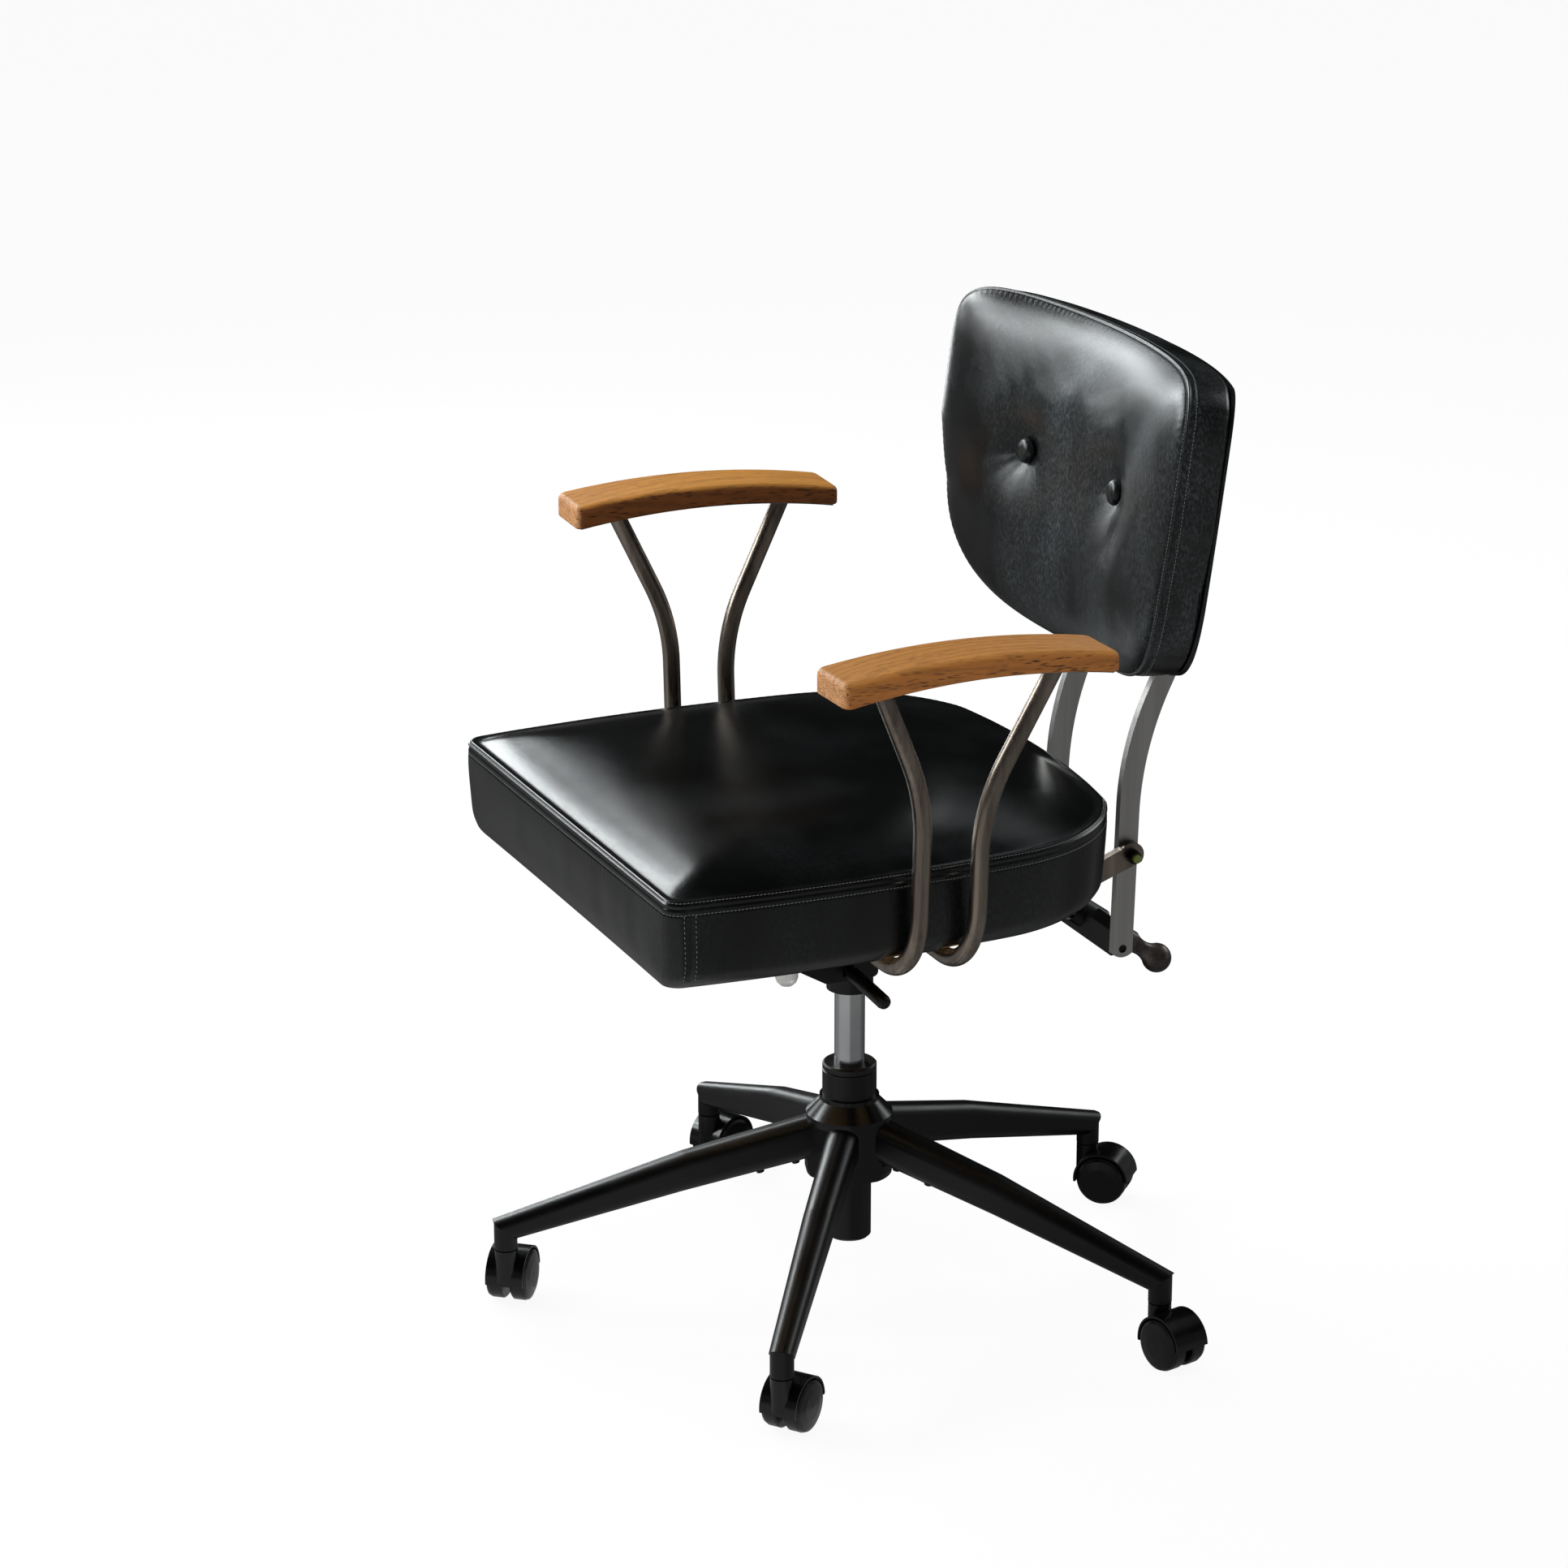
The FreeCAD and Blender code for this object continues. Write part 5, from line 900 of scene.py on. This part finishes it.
def covered_buttons(leather):
    """Leather-covered dome buttons, pleated where the cover turns under."""
    points, faces = [], []
    sides = 72
    # share of the radius, and depth behind the button's rim
    profile = [(0.35, -5.9), (0.62, -5.4), (0.82, -4.3), (0.94, -2.8), (1.0, -1.2), (0.99, 0.3), (0.93, 1.6),
               (0.80, 2.4)]
    sunk = 25.6
    for bx, bup in BUTTONS:
        base = len(points)
        deep = -wrapped(bx) - sunk
        lean = Matrix.Rotation(-math.asin(bx / BACK_WRAP) * 0.5, 3, "Z")
        for share, ahead in profile:
            for k in range(sides):
                a = 2 * math.pi * k / sides
                pleat = 1 + 0.012 * math.sin(12 * a + 2 * math.sin(5 * a)) * min(1.0, share)
                out = BUTTON_RADIUS * share * pleat
                local = lean @ Vector((out * math.cos(a), ahead, out * math.sin(a)))
                points.append(back_place(bx + local.x, deep + local.y, bup + local.z))
        faces += [tuple(base + i for i in face) for face in ring_faces(len(profile), sides, capped=False)]
        points.append(back_place(bx, deep - 6.15, bup))
        faces += [(len(points) - 1, base + (k + 1) % sides, base + k) for k in range(sides)]
        last = base + (len(profile) - 1) * sides
        points.append(back_place(bx, deep + 2.4, bup))
        faces += [(len(points) - 1, last + k, last + (k + 1) % sides) for k in range(sides)]
    ob = piece("back_button_domes", points, faces, leather)
    ob.data.flip_normals()
    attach(ob, "backrest")
    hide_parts("back_buttons")


# Recline spring.
def recline_spring(steel):
    """Compression spring of round wire with closed end coils, on the strut's line."""
    slant = math.radians(36.0)
    cross_y, anchor_y = 241.3, 162.0
    eye, collar, seat_gap, saddle = 14.0, 3.0, 0.4, 17.4
    cross = Vector((0.0, cross_y, 333.7)) * MM
    along = Vector((0.0, math.cos(slant), -math.sin(slant)))
    side = Vector((1.0, 0.0, 0.0))
    up = along.cross(side)
    begin = -(cross_y - anchor_y) / math.cos(slant) + eye + collar + seat_gap
    # radius of the wire, radius of the coil's middle line, turns with the two closed ones
    wire, mean, turns = 1.6, 9.5, 7.5
    steps, sides = int(turns * 40), 14
    length = -saddle - begin - 2 * wire
    closed = 2.04 * wire
    open_pitch = (length - 2 * closed) / (turns - 2)
    points = []
    for n in range(steps + 1):
        turn_at = n / steps * turns
        if turn_at < 1:
            z = closed * turn_at
        elif turn_at > turns - 1:
            z = length - closed * (turns - turn_at)
        else:
            z = closed + open_pitch * (turn_at - 1)
        a = 2 * math.pi * turn_at
        out = side * math.cos(a) + up * math.sin(a)
        hub = cross + (along * (begin + wire + z) + out * mean) * MM
        for k in range(sides):
            b = 2 * math.pi * k / sides
            points.append(hub + (out * math.cos(b) + along * math.sin(b)) * wire * MM)
    faces = []
    for n in range(steps):
        for k in range(sides):
            j = (k + 1) % sides
            faces.append((n * sides + k, (n + 1) * sides + k, (n + 1) * sides + j, n * sides + j))
    faces.append(tuple(range(sides)))
    faces.append(tuple(reversed(range(steps * sides, (steps + 1) * sides))))
    ob = piece("recline_coil", points, faces, steel)
    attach(ob, "strut")
    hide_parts("strut_spring")
    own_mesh(ob)


# Studio.
def shown_rays(t):
    """1 for rays from the camera, from gloss and through glass, which see the white surround, else 0."""
    path = add(t, "ShaderNodeLightPath").outputs
    seen = add(t, "ShaderNodeMath", {0: path["Is Camera Ray"], 1: path["Is Glossy Ray"]},
               operation="MAXIMUM")
    shown = add(t, "ShaderNodeMath", {0: seen.outputs[0], 1: path["Is Transmission Ray"]},
                operation="MAXIMUM")
    return shown.outputs[0]


def studio():
    """Pale floor that keeps the chair's shadow, a white surround, and soft lamps that the leather mirrors."""
    scene = bpy.context.scene
    scene.view_settings.view_transform = "Standard"
    world = bpy.data.worlds.new("surround")
    world.use_nodes = True
    w = world.node_tree
    w.nodes.clear()
    white = (1.0, 1.0, 1.0, 1.0)
    dim = add(w, "ShaderNodeBackground", {"Color": white, "Strength": 0.50})
    paper = add(w, "ShaderNodeBackground", {"Color": white, "Strength": 1.0})
    both = add(w, "ShaderNodeMixShader", {0: shown_rays(w), 1: dim.outputs[0], 2: paper.outputs[0]})
    add(w, "ShaderNodeOutputWorld", {0: both.outputs[0]})
    scene.world = world

    m = bpy.data.materials.new("studio_paper")
    m.use_nodes = True
    t = m.node_tree
    t.nodes.clear()
    share = add(t, "ShaderNodeMath", {0: shown_rays(t), 1: 0.92}, operation="MULTIPLY")
    matt = add(t, "ShaderNodeBsdfDiffuse", {"Color": (0.86, 0.86, 0.86, 1.0)})
    glow = add(t, "ShaderNodeEmission", {"Color": white, "Strength": 1.0})
    both = add(t, "ShaderNodeMixShader", {0: share.outputs[0], 1: matt.outputs[0], 2: glow.outputs[0]})
    add(t, "ShaderNodeOutputMaterial", {0: both.outputs[0]})
    reach = 20
    corners = [(-reach, -reach, 0), (reach, -reach, 0), (reach, reach, 0), (-reach, reach, 0)]
    floor = sheet("studio_floor", corners, [(0, 1, 2, 3)], [m])
    gloss_tent()

    # name, bearing and rise in degrees, width and height in metres, brightness, seen in the gloss or not
    lamps = (
        ("crown_strip", 176.5, 33.0, 0.52, 0.34, 12.0, True),
        ("left_panel", 195.0, 29.0, 1.50, 0.48, 14.0, True),
        ("left_low", 185.0, 17.0, 0.55, 0.93, 8.0, True),
        ("foot_strip", 175.0, -3.0, 0.58, 0.48, 7.0, True),
        ("middle_panel", 202.0, 11.5, 0.73, 0.58, 4.4, True),
        ("rear_panel", 105.0, 22.0, 1.60, 1.10, 2.6, True),
        ("high_panel", 215.0, 38.0, 1.39, 0.48, 9.5, True),
        ("front_panel", 230.0, 29.0, 1.02, 0.48, 20.0, True),
        ("front_low", 240.0, 19.5, 1.09, 0.48, 10.5, True),
        ("overhead", 20.0, 80.0, 2.2, 2.2, 2.2, False),
        ("fill", -37.0, 33.0, 1.6, 1.6, 1.6, False),
    )
    aim = Vector((0.0, 0.0, 0.5))
    distance = 3.3
    for name, bearing, up, wide, tall, bright, mirrored in lamps:
        lamp = bpy.data.lights.new(name, "AREA")
        lamp.shape = "RECTANGLE"
        lamp.size = wide
        lamp.size_y = tall
        lamp.energy = bright * math.pi * wide * tall
        lamp.color = (0.94, 0.985, 1.0) if mirrored else (1.0, 0.99, 0.97)
        ob = bpy.data.objects.new(name, lamp)
        a, b = math.radians(bearing), math.radians(up)
        away = Vector((math.cos(a) * math.cos(b), math.sin(a) * math.cos(b), math.sin(b)))
        ob.location = aim + away * distance
        ob.rotation_euler = (-away).to_track_quat("-Z", "Y").to_euler()
        ob.visible_glossy = mirrored
        scene.collection.objects.link(ob)


def sheet(name, corners, faces, finishes):
    """A flat-shaded studio piece that isn't part of the chair."""
    mesh = bpy.data.meshes.new(name)
    mesh.from_pydata(corners, [], faces)
    for finish in finishes:
        mesh.materials.append(finish)
    ob = bpy.data.objects.new(name, mesh)
    bpy.context.scene.collection.objects.link(ob)
    return ob


def gloss_tent():
    """Tent of grey cloths that only gloss mirrors, so that black leather stays black in a white surround."""
    greys = (0.010, 0.11, 0.20, 0.27, 0.42)
    finishes = []
    for n, grey in enumerate(greys):
        m = bpy.data.materials.new("studio_cloth_%d" % n)
        m.use_nodes = True
        t = m.node_tree
        t.nodes.clear()
        lit = add(t, "ShaderNodeEmission", {"Color": (grey, grey, grey, 1.0), "Strength": 1.0})
        add(t, "ShaderNodeOutputMaterial", {0: lit.outputs[0]})
        finishes.append(m)
    # the grey at each bearing (0, 45, ... 315), on the floor first and then between two rises in degrees
    bands = (
        (MM, None, (2, 2, 1, 0, 1, 3, 4, 4)),
        (0.0, 25.0, (1, 1, 2, 0, 0, 0, 1, 1)),
        (25.0, 50.0, (0, 0, 1, 0, 0, 0, 0, 0)),
        (50.0, 90.0, (0, 0, 1, 0, 0, 0, 0, 0)),
    )
    radius = 5.4
    corners, faces, greys_used = [], [], []
    for low, high, chosen in bands:
        for k, grey in enumerate(chosen):
            turns = [math.radians(45 * k - 22.5 + 11.25 * j) for j in range(5)]
            if high is None:
                ra, za, rb, zb = 0.02, low, radius, low
            else:
                b, c = math.radians(low), math.radians(min(high, 89.0))
                ra, za = radius * math.cos(b), radius * math.sin(b) + MM
                rb, zb = radius * math.cos(c), radius * math.sin(c) + MM
            first = len(corners)
            for a in turns:
                corners.append((ra * math.cos(a), ra * math.sin(a), za))
                corners.append((rb * math.cos(a), rb * math.sin(a), zb))
            for j in range(4):
                v = first + 2 * j
                faces.append((v, v + 1, v + 3, v + 2))
                greys_used.append(grey)
    ob = sheet("gloss_tent", corners, faces, finishes)
    for face, grey in zip(ob.data.polygons, greys_used):
        face.material_index = grey
    ob.visible_camera = False
    ob.visible_diffuse = False
    ob.visible_shadow = False
    ob.visible_transmission = False


def camera():
    """A long lens from the chair's front left, a little above the rests."""
    look = bpy.data.cameras.new("camera")
    look.lens = 118.47
    look.sensor_width = 36.0
    look.clip_end = 60.0
    ob = bpy.data.objects.new("camera", look)
    spot = Vector((3.99988, -1.82986, 1.98640))
    aim = Vector((-0.14875, 0.0, 0.44838))
    ob.location = spot
    ob.rotation_euler = (aim - spot).to_track_quat("-Z", "Y").to_euler()
    bpy.context.scene.collection.objects.link(ob)
    bpy.context.scene.camera = ob


# The chair.
camera()
studio()

leather_seat = coated_leather("coated_leather_seat", 0.13, 0.22, 0.55, 6.0)
leather_back = coated_leather("coated_leather_back", 0.85, 0.27, 1.0)
leather_shell = coated_leather("coated_leather_shell", 0.16, 0.27, 0.8)
thread = sewing_thread("waxed_thread", "55585b")
# painted light: both rests are the same oiled beech, but each copy gets its own lit top, shaded side and
# fleck colours
wood_left_painted_light = oiled_wood("oiled_beech_left_painted_light", 0.31, "aa7336", "9a602a", "3f2611")
wood_right_painted_light = oiled_wood("oiled_beech_right_painted_light", 1.73, "b57c36", "6a3c18", "2c180b")
tube_steel = drawn_steel("lacquered_drawn_tube", "6a6057", "b3a698", 0.30, (1.0, 1.0, 0.04), 0.25)
bar_steel = drawn_steel("lacquered_flat_bar", "b4b3af", "d4d3cf", 0.42, (1.0, 1.0, 0.03), 0.10)
plate_steel = drawn_steel("brushed_plate", "807e7a", "b3b1ac", 0.36, (1.0, 0.04, 1.0), 0.15)
zinc = drawn_steel("zinc_plated_steel", "86888a", "b2b3b2", 0.34, (1.0, 1.0, 0.3))
spring = drawn_steel("oil_blackened_spring_steel", "1b1b1c", "3d3c3a", 0.34, (1.0, 1.0, 1.0))
coat = powder_coat("satin_black_powder_coat", "040404", "0a0b0b", 0.34)
hub_coat = powder_coat("gloss_black_powder_coat", "040404", "090a0a", 0.22, 0.7)
housing_coat = powder_coat("black_stoved_enamel", "050505", "0b0b0c", 0.36)
nylon = moulded_nylon("black_nylon", "050505", "0c0c0d", 0.36, 0.35)
castor_nylon = moulded_nylon("glossy_black_nylon", "040404", "09090a", 0.22, 0.10)
chrome = hard_chrome()
gunmetal = gunmetal_lacquer()
milky = milky_polypropylene()
fasteners = pivot_fasteners()
ply = birch_ply()

for n in range(1, 6):
    dress("leg_%d" % n, coat)
    dress("castor_hood_%d" % n, castor_nylon)
    dress("wheel_left_%d" % n, castor_nylon)
    dress("wheel_right_%d" % n, castor_nylon)
    dress("castor_pins_%d" % n, zinc)
dress("base_hub", hub_coat)
dress("leg_screws", spring)
dress("column_tube", coat)
dress("column_cap", nylon)
dress("gas_piston", chrome)
dress("mechanism_housing", housing_coat)
dress("lever_handle", nylon)
dress("friction_knob", milky)
dress("seat_board", ply)
for side in ("left", "right"):
    dress("arm_tube_front_" + side, tube_steel)
    dress("arm_tube_rear_" + side, tube_steel)
    dress("arm_plate_" + side, plate_steel)
    dress("upright_" + side, bar_steel)
    dress("hinge_bracket_" + side, tube_steel)
dress("armrest_left", wood_left_painted_light)
dress("armrest_right", wood_right_painted_light)
dress("arm_mounts", tube_steel)
dress("arm_screws", zinc)
dress("hinge_bolts", fasteners)
dress("strut_anchor", housing_coat)
dress("strut_rod", spring)
dress("crossbar", housing_coat)
dress("crossbar_bolts", spring)
dress("ball_knob", gunmetal)
dress("back_shell", leather_shell)

seat, seat_away, seat_count, seat_joined = seat_cushion(leather_seat)
rows = [line_at(seat, seat_away, seat_count, at, 0.25 * MM) for at in SEAT_ROWS]
sewn_rows("seat_stitches", rows, True, thread, "seat")
rows = [upright_at(seat, seat_away, seat_count, column + side, -70.0, -9.5, 0.25 * MM)
        for column in seat_joined for side in (-2, 2)]
sewn_rows("seat_corner_stitches", rows, False, thread, "seat", pitch=4.6 * MM)
back, back_away, back_count = back_cushion(leather_back)
rows = [line_at(back, back_away, back_count, at, lift * MM) for at, lift in zip(BACK_ROWS, (0.2, 0.25))]
sewn_rows("back_stitches", rows, True, thread, "backrest")
covered_buttons(leather_back)
recline_spring(spring)
